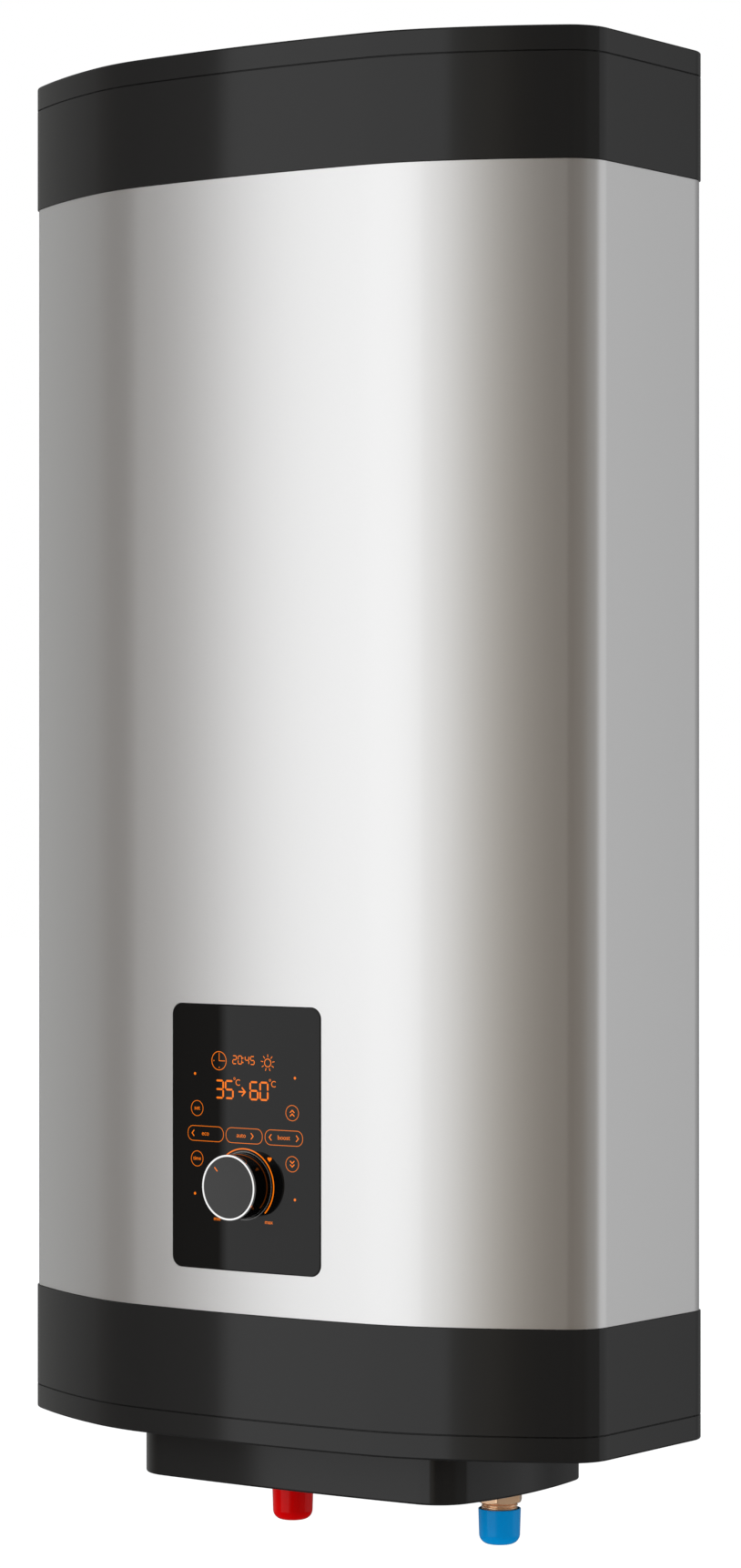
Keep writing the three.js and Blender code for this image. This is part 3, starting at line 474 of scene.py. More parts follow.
# Spark-eroded dark ABS: the knob's face, matt with a grain of 0.3 mm drawn at 0.5 mm.
ERODED_ABS = Finish("spark_eroded_grey_abs", "#2E2E2E", 0.42, grain=(0.5, 0.5, 0.5), lift=0.02, shade=0.12)
# Chromed ABS ring: bright white metal, with a grey glow that is a painted highlight.
CHROME_PAINTED_GLOW = Finish(
    "chrome_painted_glow", "#F7F7F7", 0.07, 1.0, glow="#505050", grain=(20, 20, 20), spread=0.01, shade=0.01
)
# Polished copper plating over brass, with the fine lines of turning.
COPPER = Finish("polished_copper_plate", "#FFD2AC", 0.14, 0.70, grain=(6, 6, 0.5), lift=0.004, spread=0.05)
# Moulded polyethylene: the transit caps, saturated with a soft gloss and a faint flow pattern.
RED_PE, BLUE_PE = (
    Finish(name, colour, 0.08, specular=0.16, grain=(3, 3, 3), lift=0.01, spread=0.03)
    for name, colour in (("moulded_red_polyethylene", "#BE0002"), ("moulded_blue_polyethylene", "#0082C4"))
)
# Galvanised strip and sheet: crystals of 7 mm, dull silver.
GALVANISED = SpangledZinc(
    "galvanised_steel_sheet", "#B4B8BB", 0.42, 0.85, grain=(7, 7, 7), spread=0.1, shade=0.16
)
# Ground stainless steel: lines of 0.3 mm round the tanks and along the pipes.
STAINLESS = Finish(
    "ground_stainless_steel", "#C4C6C8", 0.28, 1.0, grain=(8, 8, 0.3), lift=0.003, spread=0.06
)
# Nickel-plated copper of the heating elements and probes: a warm, dull metal.
NICKELLED = Finish("nickel_plated_copper", "#C98F63", 0.3, 1.0, grain=(2, 2, 6), spread=0.06, shade=0.12)
# Cast magnesium: the anodes, grey and matt with casting marks.
MAGNESIUM = Finish(
    "cast_magnesium", "#8F9193", 0.6, 0.7, grain=(2.5, 2.5, 5), lift=0.08, spread=0.1, shade=0.15
)
# Moulded rubber: black and matt.
RUBBER = Finish("moulded_rubber", "#1B1B1B", 0.75, grain=(0.8, 0.8, 0.8), lift=0.02, spread=0.05, shade=0.1)
# Poured polyurethane foam: straw-coloured cells of 1.5 mm.
FOAM = CellularFoam("poured_polyurethane_foam", "#E4CE90", 0.9, grain=(1.5, 1.5, 1.5), lift=0.4, shade=0.12)
# Circuit boards: green solder mask over tracks about 6 mm apart.
BOARD = TrackedLaminate("solder_masked_laminate", "#1C6A3A", 0.35, grain=(6, 6, 6), lift=0.04, shade=0.2)
# Glass-filled nylon, dark and white: the matt plastic of housings, relays and terminals.
DARK_PLASTIC, WHITE_PLASTIC = (
    Finish(name, colour, 0.45, grain=(1, 1, 1), lift=0.02, spread=0.05)
    for name, colour in (("glass_filled_dark_nylon", "#24262A"), ("glass_filled_white_nylon", "#DAD9D3"))
)
# Orange ceramic print lit from behind: it glows under the glass's gloss.
ORANGE_GLOW = Finish(
    "lit_orange_print", "#3A1A04", 0.05, glow="#FC7A0C",
    specular=0.36, grain=(3, 3, 3), spread=0.01, shade=0.03,
)
# Grey painted highlight: a thin ring drawn on the glass round the knob's foot.
GREY_PAINTED_HIGHLIGHT = Finish("grey_painted_highlight", "#686868", 0.1, grain=(1, 1, 1))
# Zinc-plated screws: bluish bright steel.
ZINC_SCREW = Finish("zinc_plated_steel", "#C3C8CC", 0.25, 1.0, grain=(1.5, 1.5, 1.5), spread=0.06)

SLOT_FINISHES = {
    "silver_jacket": SATIN_STEEL,
    "black_plastic": BLACK_ABS,
    "black_glass": BACKED_GLASS,
    "knob_black": PIANO_ABS,
    "knob_grey": ERODED_ABS,
    "chrome_trim": CHROME_PAINTED_GLOW,
    "galvanised_steel": GALVANISED,
    "stainless_steel": STAINLESS,
    "polyurethane_foam": FOAM,
    "copper": NICKELLED,
    "magnesium": MAGNESIUM,
    "rubber": RUBBER,
    "circuit_board": BOARD,
    "dark_component": DARK_PLASTIC,
    "white_plastic": WHITE_PLASTIC,
    "red_plastic": RED_PE,
    "blue_plastic": BLUE_PE,
}


# Pieces


@dataclass(frozen=True)
class Piece:
    """What a piece is called and made of, and what it stands for and rides on."""

    name: str
    finish: Finish
    slot: str  # the record's material slot that it takes its finish from
    replaces: str = ""  # the CAD node that it stands for
    body: str = "heater"  # the CAD body that it rides on
    crease: float = 32.0  # degrees past which an edge is drawn sharp

    def settle(self, mesh: bpy.types.Mesh) -> bpy.types.Object:
        """Merges a mesh's doubles, turns its faces outwards, shades it and puts it on its body.

        Args:
            mesh: The mesh, in metres.

        Returns:
            The object, at the origin with its place in its mesh.
        """
        work = bmesh.new()
        work.from_mesh(mesh)
        bmesh.ops.remove_doubles(work, verts=work.verts, dist=WELD * MM)
        bmesh.ops.recalc_face_normals(work, faces=work.faces)
        work.to_mesh(mesh)
        work.free()
        mesh.shade_smooth()
        mesh.set_sharp_from_angle(angle=math.radians(self.crease))
        mesh.materials.clear()
        mesh.materials.append(self.finish.material())
        made = put(self.name, mesh)
        even = made.modifiers.new("even_shading", "WEIGHTED_NORMAL")
        even.keep_sharp = True
        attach(made, self.body)
        if self.replaces:
            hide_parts(self.replaces)
        log.info("%s: %d faces", self.name, len(mesh.polygons))
        return made


class Shell:
    """Patches of one piece, which are joined where their points meet."""

    def __init__(self) -> None:
        """Starts with no patch."""
        self._points: list[np.ndarray] = []
        self._faces: list[np.ndarray] = []
        self._count = 0

    def add(self, points: np.ndarray, faces: np.ndarray) -> "Shell":
        """Adds one patch.

        Args:
            points: Its points.
            faces: Its quads, a triangle repeating its last point.

        Returns:
            The shell.
        """
        self._points.append(points.reshape(-1, 3))
        self._faces.append(faces + self._count)
        self._count += len(self._points[-1])
        return self

    def add_grid(self, points: np.ndarray, wrap_rows: bool = False) -> "Shell":
        """Adds a grid of points whose last column, and last row if wanted, joins the first."""
        return self.add(points, grid_faces(*points.shape[:2], wrap_rows, wrap_columns=True))

    def add_tube(self, loop: np.ndarray, *levels: float) -> "Shell":
        """Adds an upright wall over a flat loop between two heights, and returns the shell."""
        rings = [np.column_stack([loop, np.full(len(loop), level)]) for level in levels]
        return self.add_grid(np.stack(rings))

    def add_face(self, outline: np.ndarray, holes: list[np.ndarray], level: float) -> "Shell":
        """Fills a flat outline round its holes at one height, and returns the shell."""
        return self.add(*flat_face(outline, holes, level))

    def make(self, piece: Piece) -> bpy.types.Object:
        """Makes the piece's object from all patches.

        Args:
            piece: What the object is called, made of and put on.

        Returns:
            The object.
        """
        mesh = bpy.data.meshes.new(piece.name)
        faces = [list(dict.fromkeys(face)) for face in np.vstack(self._faces).tolist()]
        mesh.from_pydata(np.vstack(self._points) * MM, [], [face for face in faces if len(face) > 2])
        return piece.settle(mesh)


# Plans


class Plan:
    """A closed outline seen from above, symmetric about the mid-plane, of arcs that meet tangentially.

    A place on it is its distance from the front's middle, positive to the right.
    """

    ARC_STEP = 0.4  # between an arc's points
    LEAST_STEPS = 24  # of an arc
    RUN_STEPS = 200  # of a straight run

    def __init__(
        self,
        half_width: float,
        front: float,
        rear: float,
        bends: Bends,
        rear_radius: float | None,
    ) -> None:
        """Follows the outline from the front's middle to the rear's.

        Args:
            half_width: Mid-plane to the side.
            front: The front's y.
            rear: The rear's y.
            bends: Radius and end heading in degrees of each arc. A first radius of None makes up the width.
            rear_radius: Radius of the rear corners. None makes up the depth, with no straight side.
        """
        headings = np.radians([0.0, *(turn for _, turn in bends)])
        widths = np.diff(np.sin(headings))
        known = sum(radius * width for (radius, turn), width in zip(bends, widths) if radius and turn <= 90)
        arcs = [((half_width - known) / widths[0] if radius is None else radius) for radius, _ in bends]
        place = [np.array([0.0]), np.array([0.0]), np.array([front]), np.array([0.0])]
        for radius, start, end in zip(arcs, headings[:-1], headings[1:]):
            self._bend(place, radius, start, end)
        if rear_radius is None:
            rear_radius = (rear - place[2][-1]) / (1 + math.cos(headings[-1]))
        else:
            self._run(place, 0.0, rear - rear_radius - place[2][-1])
        self._bend(place, rear_radius, headings[-1], math.pi)
        self._run(place, -place[1][-1], 0.0)
        self.distance, self.x, self.y, self.heading = place
        self.half_length = float(self.distance[-1])

    @classmethod
    def _bend(cls, place: list[np.ndarray], radius: float, start: float, end: float) -> None:
        """Adds an arc: x grows with the heading's sine and y with its cosine's fall.

        Args:
            place: Distance, x, y and heading of the points so far, which it lengthens.
            radius: The arc's radius.
            start: Heading at its start, in radians.
            end: Heading at its end.
        """
        steps = max(cls.LEAST_STEPS, int(radius * (end - start) / cls.ARC_STEP))
        heading = np.linspace(start, end, steps)[1:]
        place[1] = np.append(place[1], place[1][-1] + radius * (np.sin(heading) - math.sin(start)))
        place[2] = np.append(place[2], place[2][-1] + radius * (math.cos(start) - np.cos(heading)))
        place[0] = np.append(place[0], place[0][-1] + radius * (heading - start))
        place[3] = np.append(place[3], heading)

    @classmethod
    def _run(cls, place: list[np.ndarray], dx: float, dy: float) -> None:
        """Adds a straight run.

        Args:
            place: Distance, x, y and heading of the points so far, which it lengthens.
            dx: How far it goes along X.
            dy: How far it goes along Y.
        """
        share = np.linspace(0, 1, cls.RUN_STEPS)[1:]
        place[3] = np.append(place[3], np.full(len(share), place[3][-1]))
        place[0] = np.append(place[0], place[0][-1] + math.hypot(dx, dy) * share)
        place[1] = np.append(place[1], place[1][-1] + dx * share)
        place[2] = np.append(place[2], place[2][-1] + dy * share)

    def points(self, places: np.ndarray, inset: np.ndarray | float) -> np.ndarray:
        """Finds points at places on the outline moved inwards: the point less its normal times the inset.

        Args:
            places: Places on the outline.
            inset: How far each moves inwards.

        Returns:
            Their x and y.
        """
        along = np.abs(places)
        heading = np.interp(along, self.distance, self.heading)
        x = np.interp(along, self.distance, self.x) - inset * np.sin(heading)
        y = np.interp(along, self.distance, self.y) + inset * np.cos(heading)
        return np.stack(np.broadcast_arrays(np.sign(places) * x, y), axis=-1)

    def stations(self, start: float, end: float, run: float = 14.0, turn: float = 1.4) -> np.ndarray:
        """Spaces places so that each step is a share of a run and a share of a turn.

        Args:
            start: The first place.
            end: The last place.
            run: The longest step where the outline is straight.
            turn: The most degrees that a step turns through.

        Returns:
            The places.
        """
        cost = self.distance / run + np.degrees(self.heading) / turn
        ends = np.sign([start, end]) * np.interp(np.abs([start, end]), self.distance, cost)
        steps = np.linspace(ends[0], ends[1], max(2, math.ceil(abs(ends[1] - ends[0]))) + 1)
        return np.sign(steps) * np.interp(np.abs(steps), cost, self.distance)

    def loop(self) -> np.ndarray:
        """Spaces places all round the outline."""
        right = self.stations(0.0, self.half_length)
        return np.concatenate([right, -right[-2:0:-1]])

    def front_y(self, x: np.ndarray, inset: float) -> np.ndarray:
        """Finds the front moved inwards, at some x.

        Args:
            x: Places across the front.
            inset: How far the front moves inwards.

        Returns:
            Its y at each x.
        """
        front = self.heading < FRONT_END
        across = self.x[front] - inset * np.sin(self.heading[front])
        depth = self.y[front] + inset * np.cos(self.heading[front])
        return np.interp(np.abs(x), across, depth)

    def place_at(self, x: float) -> float:
        """Finds the place on the front at some x."""
        front = self.heading < FRONT_END
        return float(np.interp(abs(x), self.x[front], self.distance[front]))

    def carry(self, section: np.ndarray) -> np.ndarray:
        """Carries a section of inset and height round the outline, as a grid of section by place."""
        flat = self.points(self.loop()[None], section[:, :1])
        return np.dstack([flat, np.broadcast_to(section[:, 1:], flat.shape[:2])])

    def ring(self, inset: float) -> np.ndarray:
        """Returns the closed outline moved inwards, at the places of a carried section."""
        return self.points(self.loop(), inset)


@dataclass(frozen=True)
class RoundedWindow:
    """A rectangle with round corners on the front, as straight sides and corner arcs with their spokes."""

    centre_z: float
    half_width: float
    half_height: float
    radius: float
    side_steps: int = 30
    corner_steps: int = 12

    def _spokes(self) -> tuple[np.ndarray, np.ndarray]:
        """Runs round the core that the corners' centres make, with the way out from each point.

        Returns:
            Each point's place on the core, and its outward direction.
        """
        x, z = self.half_width - self.radius, self.half_height - self.radius
        cores = np.array([[x, -z], [x, z], [-x, z], [-x, -z], [x, -z]])
        share = np.arange(self.side_steps)[:, None] / self.side_steps
        base, angle = [], []
        for side in range(4):
            base += [cores[side] + share * (cores[side + 1] - cores[side])]
            base += [np.repeat(cores[side + 1][None], self.corner_steps, axis=0)]
            angle += [np.full(self.side_steps, float(side))]
            angle += [side + np.arange(self.corner_steps) / self.corner_steps]
        angle = np.concatenate(angle) * math.pi / 2
        return np.vstack(base), np.column_stack([np.cos(angle), np.sin(angle)])

    def ring(self, offset: float = 0.0) -> np.ndarray:
        """Returns the outline grown by an offset, as x and z."""
        base, direction = self._spokes()
        return base + (self.radius + offset) * direction + np.array([0.0, self.centre_z])

    def squared(self, margin: float) -> np.ndarray:
        """Runs the same spokes out to a plain rectangle.

        Args:
            margin: The rectangle's distance from the window.

        Returns:
            The spokes' ends, as x and z.
        """
        base, direction = self._spokes()
        reach = (self.radius + margin) / np.abs(direction).max(axis=1, keepdims=True)
        return base + reach * direction + np.array([0.0, self.centre_z])


# Casing


class End(Enum):
    """An end of the casing, as the way that it faces along Z."""

    TOP = 1.0
    FOOT = -1.0


@dataclass
class Casing:
    """The jacket, its two bands, the end lids and the rear panel."""

    half_width: float = 218.0
    front: float = -208.0
    rear: float = -12.0
    bends: Bends = ((None, 4.78), (161.6, 19.97), (409.3, 31.9), (29.5, 90.0))
    rear_radius: float = 21.0
    jacket_inset: float = 1.0
    sheet: float = 0.8
    fit: float = 0.3
    opening_half_width: float = 150.0
    window_margin: float = 16.0  # from the window to the jacket's plain columns and rows
    window_shares: tuple[float, ...] = (0.0, 0.06, 0.2, 0.5, 1.0)  # places of the rings in that margin
    rows_below: int = 6
    rows_above: int = 13
    band_edge: float = 0.25
    spigot_wall: float = 1.6
    spigot_edge: float = 0.3
    spigot_length: float = 8.0
    lid_thickness: float = 2.5
    lid_edge: float = 1.4
    lid_fillet: float = 1.0
    lid_skirt: float = 15.0
    seam_cover: float = 0.25  # how far the band's edge comes over the lid's seam
    lip_inset: float = 1.6
    lip: float = 0.4
    access_radius: float = 36.5
    access_steps: int = 96
    pipe_radius: float = 14.0
    post_radius: float = 3.0
    post_steps: int = 24
    post_length: float = 6.0
    post_inset: float = 5.0  # from the power board's edges
    leg_x: float = 100.0
    leg_half_slot: float = 1.55
    panel_steps: tuple[float, float] = (6.0, 3.0)  # along X and Z
    rib_z: tuple[float, ...] = (-80.0, -170.0, -260.0, -350.0, -440.0)
    rib_half_height: float = 11.0
    rib_end: float = 128.0
    rib_fade: float = 14.0
    rib_depth: float = 1.5
    plan: Plan = field(init=False)

    def __post_init__(self) -> None:
        """Draws the casing's plan and nests the spigots' walls in it."""
        self.plan = Plan(self.half_width, self.front, self.rear, self.bends, self.rear_radius)
        self.spigot_inset = self.jacket_inset + self.sheet + self.fit
        self.band_inner = self.spigot_inset + self.spigot_wall
        self.lid_spigot = self.band_inner + self.fit
        self.lid_inner = self.lid_spigot + self.spigot_wall

    def build(self, window: RoundedWindow) -> None:
        """Builds every piece of the casing.

        Args:
            window: The control panel's window in the jacket.
        """
        self._jacket(window)
        self._band("upper_band", End.TOP)
        self._band("lower_band", End.FOOT)
        self._top_lid()
        self._bottom_lid()
        self._rear_panel()

    def _jacket(self, window: RoundedWindow) -> None:
        """Bends the sheet round the plan, with a round-cornered window in its front.

        Away from the window a point is the plan at a place and a height. Near it, rows of points run out
        from the window's edge to a plain rectangle, and each lies on the bowed front at its x.

        Args:
            window: The window.
        """
        low, high = node_box("outer_jacket")[:, 2]
        edge, square = window.ring(), window.squared(self.window_margin)
        across, up = (np.unique(np.round(square[:, axis], 6)) for axis in (0, 1))
        below = np.linspace(low, up[0], self.rows_below + 1)[:-1]
        above = np.linspace(up[-1], high, self.rows_above + 1)[1:]
        heights = np.concatenate([below, up, above])
        side_end = self.plan.half_length - self.opening_half_width
        side = self.plan.stations(self.plan.place_at(across[-1]), side_end)[1:]
        share = np.array(self.window_shares)[:, None, None]
        patch = edge + share * (square - edge)
        skins = []
        for inset in (self.jacket_inset, self.jacket_inset + self.sheet):
            right = self.plan.points(side, inset)
            middle = np.column_stack([across, self.plan.front_y(across, inset)])
            columns = np.vstack([right[::-1] * np.array([-1.0, 1.0]), middle, right])
            plain = np.stack(np.broadcast_arrays(columns[:, 0], columns[:, 1], heights[:, None]), axis=-1)
            near = np.stack([patch[..., 0], self.plan.front_y(patch[..., 0], inset), patch[..., 1]], axis=-1)
            skins.append(np.vstack([plain.reshape(-1, 3), near.reshape(-1, 3)]))
        faces = grid_faces(len(heights), len(columns))
        row, column = np.divmod(faces[:, 0], len(columns))
        open_rows = (row >= len(below)) & (row < len(below) + len(up) - 1)
        open_columns = (column >= len(side)) & (column < len(side) + len(across) - 1)
        rings = grid_faces(len(share), len(edge), wrap_columns=True) + len(heights) * len(columns)
        faces = np.vstack([faces[~(open_rows & open_columns)], rings])
        first, where = weld(skins[0])
        shell = Shell().add(*thicken(skins[0][first], skins[1][first], where[faces]))
        shell.make(Piece("satin_jacket", SATIN_STEEL, "silver_jacket", "outer_jacket"))

    def _band(self, node: str, end: End) -> None:
        """Carries a band's section round the plan: a wall, with a spigot that enters the jacket.

        Args:
            node: The band's CAD node.
            end: The jacket's end that it stands at.
        """
        near, far = (0, 1) if end is End.TOP else (1, 0)
        band = node_box(node)[:, 2]
        tip, seam = band[near], band[far] + end.value * self.seam_cover
        edge = node_box("outer_jacket")[far, 2] + end.value * self.fit
        section = rounded(
            [
                (self.spigot_inset, tip, self.spigot_edge),
                (self.spigot_inset, edge, 0.0),
                (0.0, edge, self.band_edge),
                (0.0, seam, self.band_edge),
                (self.band_inner, seam, self.spigot_edge),
                (self.band_inner, tip, self.spigot_edge),
            ],
            steps=4,
        )
        shell = Shell().add_grid(self.plan.carry(section), wrap_rows=True)
        shell.make(Piece(f"{node}_moulding", BLACK_ABS, "black_plastic", node))

    def _lid_section(self, face: float, end: End) -> np.ndarray:
        """Draws a lid's section from inside its spigot to its outer face.

        Args:
            face: Height of the outer face.
            end: The casing's end that it closes.

        Returns:
            Rows of inset and height.
        """
        skirt = face - end.value * self.lid_skirt
        lip = skirt - end.value * self.lip
        tip = skirt - end.value * self.spigot_length
        inner = face - end.value * self.lid_thickness
        return rounded(
            [
                (self.lid_inner + BRIM, inner, 0.0),
                (self.lid_inner, inner, self.lid_fillet),
                (self.lid_inner, tip, self.spigot_edge),
                (self.lid_spigot, tip, self.spigot_edge),
                (self.lid_spigot, lip, 0.0),
                (self.lip_inset, lip, 0.0),
                (self.lip_inset, skirt, 0.0),
                (0.0, skirt, self.band_edge),
                (0.0, face, self.lid_edge),
                (self.lid_edge + BRIM, face, 0.0),
            ],
            closed=False,
            steps=8,
        )

    def _top_lid(self) -> None:
        """Closes the casing's top."""
        section = self._lid_section(node_box("top_lid")[1, 2], End.TOP)
        shell = Shell().add_grid(self.plan.carry(section))
        for inset, height in (section[0], section[-1]):
            shell.add_face(self.plan.ring(inset), [], height)
        shell.make(Piece("top_lid_moulding", BLACK_ABS, "black_plastic", "top_lid"))

    def _bottom_lid(self) -> None:
        """Closes the casing's foot, with two access holes, two pipe holes and the board's four posts."""
        posts_end = node_box("bottom_lid")[0, 2]
        section = self._lid_section(posts_end + self.post_length, End.FOOT)
        inner, outer = section[0, 1], section[-1, 1]
        flanges = [node_middle(f"heater_flange_{side}") for side in ("left", "right")]
        pipes = [node_middle(f"{side}_pipe") for side in ("hot", "cold")]
        holes = [circle(x, y, self.access_radius, self.access_steps) for x, y, _ in flanges]
        holes += [circle(x, y, self.pipe_radius) for x, y, _ in pipes]
        board = node_box("power_board")
        xs, ys = (board[:, axis] + np.array([self.post_inset, -self.post_inset]) for axis in (0, 1))
        posts = [circle(x, y, self.post_radius, self.post_steps) for x in xs for y in ys]
        shell = Shell().add_grid(self.plan.carry(section))
        shell.add_face(self.plan.ring(section[0, 0]), holes, inner)
        shell.add_face(self.plan.ring(section[-1, 0]), holes + posts, outer)
        for hole in holes:
            shell.add_tube(hole, inner, outer)
        for post in posts:
            shell.add_tube(post, outer, posts_end).add_face(post, [], posts_end)
        shell.make(Piece("bottom_lid_moulding", BLACK_ABS, "black_plastic", "bottom_lid"))

    def _rear_panel(self) -> None:
        """Presses the rear sheet: flat, with shallow ribs, and slots for the brackets' legs.

        A rib's height is a cosine bump across it, faded out at both of its ends.
        """
        low, high = node_box("rear_panel")
        half = self.leg_half_slot
        slots = []
        for node in ("upper_wall_bracket", "lower_wall_bracket"):
            foot, head = node_box(node)[:, 2] + np.array([-self.fit, self.fit])
            slots += [(x - half, x + half, foot, head) for x in (-self.leg_x, self.leg_x)]
        marks_x = {low[0], high[0], *(value for slot in slots for value in slot[:2])}
        marks_z = {low[2], high[2], *(value for slot in slots for value in slot[2:])}
        step_x, step_z = self.panel_steps
        xs, zs = self._spaced(sorted(marks_x), step_x), self._spaced(sorted(marks_z), step_z)
        x, z = np.meshgrid(xs, zs)
        across = np.clip(np.abs(z - np.array(self.rib_z)[:, None, None]) / self.rib_half_height, 0, 1)
        fade = np.clip((self.rib_end - np.abs(x)) / self.rib_fade, 0, 1)
        bump = self.rib_depth * (0.5 + 0.5 * np.cos(math.pi * across)).max(axis=0)
        bump *= 0.5 - 0.5 * np.cos(math.pi * fade)
        faces = grid_faces(len(zs), len(xs))
        row, column = np.divmod(faces[:, 0], len(xs))
        middle_x, middle_z = (xs[column] + xs[column + 1]) / 2, (zs[row] + zs[row + 1]) / 2
        keep = np.ones(len(faces), dtype=bool)
        for x0, x1, z0, z1 in slots:
            keep &= ~((middle_x > x0) & (middle_x < x1) & (middle_z > z0) & (middle_z < z1))
        skins = [np.stack([x, bump + y, z], axis=-1).reshape(-1, 3) for y in (high[1], low[1])]
        used, where = np.unique(faces[keep], return_inverse=True)
        shell = Shell().add(*thicken(skins[0][used], skins[1][used], where.reshape(-1, 4)))
        shell.make(Piece("pressed_rear_panel", GALVANISED, "galvanised_steel", "rear_panel"))

    @staticmethod
    def _spaced(marks: list[float], step: float) -> np.ndarray:
        """Puts evenly spaced values between marks.

        Args:
            marks: The marks, in order.
            step: The most that two values may lie apart.

        Returns:
            The marks and the values between them.
        """
        runs = [
            np.linspace(start, end, max(1, math.ceil((end - start) / step)) + 1)[:-1]
            for start, end in zip(marks[:-1], marks[1:])
        ]
        return np.append(np.concatenate(runs), marks[-1])


@dataclass
class WallBrackets:
    """The two strips that carry the heater on the wall."""

    edge: float = 0.5
    flat_angle: float = 0.5  # degrees up to which facets are one flat
    edge_angle: float = 40.0  # degrees past which an edge is eased

    def build(self) -> None:
        """Makes both strips."""
        for node in ("upper_wall_bracket", "lower_wall_bracket"):
            self._strip(node)

    def _strip(self, node: str) -> None:
        """Replaces a CAD node by a merged copy of it with eased edges.

        Args:
            node: The CAD node.
        """
        mesh = frame["nodes"][node].data.copy()
        work = bmesh.new()
        work.from_mesh(mesh)
        bmesh.ops.remove_doubles(work, verts=work.verts, dist=WELD * MM)
        flat = math.radians(self.flat_angle)
        bmesh.ops.dissolve_limit(work, angle_limit=flat, verts=work.verts, edges=work.edges)
        work.to_mesh(mesh)
        work.free()
        strip = Piece(f"{node}_strip", GALVANISED, "galvanised_steel", node).settle(mesh)
        ease = strip.modifiers.new("eased_edges", "BEVEL")
        ease.width = self.edge * MM
        ease.segments = 2
        ease.limit_method = "ANGLE"
        ease.angle_limit = math.radians(self.edge_angle)
        strip.modifiers.move(1, 0)


# Control panel


@dataclass(frozen=True)
class Figures:
    """A size of seven-segment figures: a figure's extent is measured at the middle of its bars."""

    width: float
    height: float
    pitch: float
    bar: float


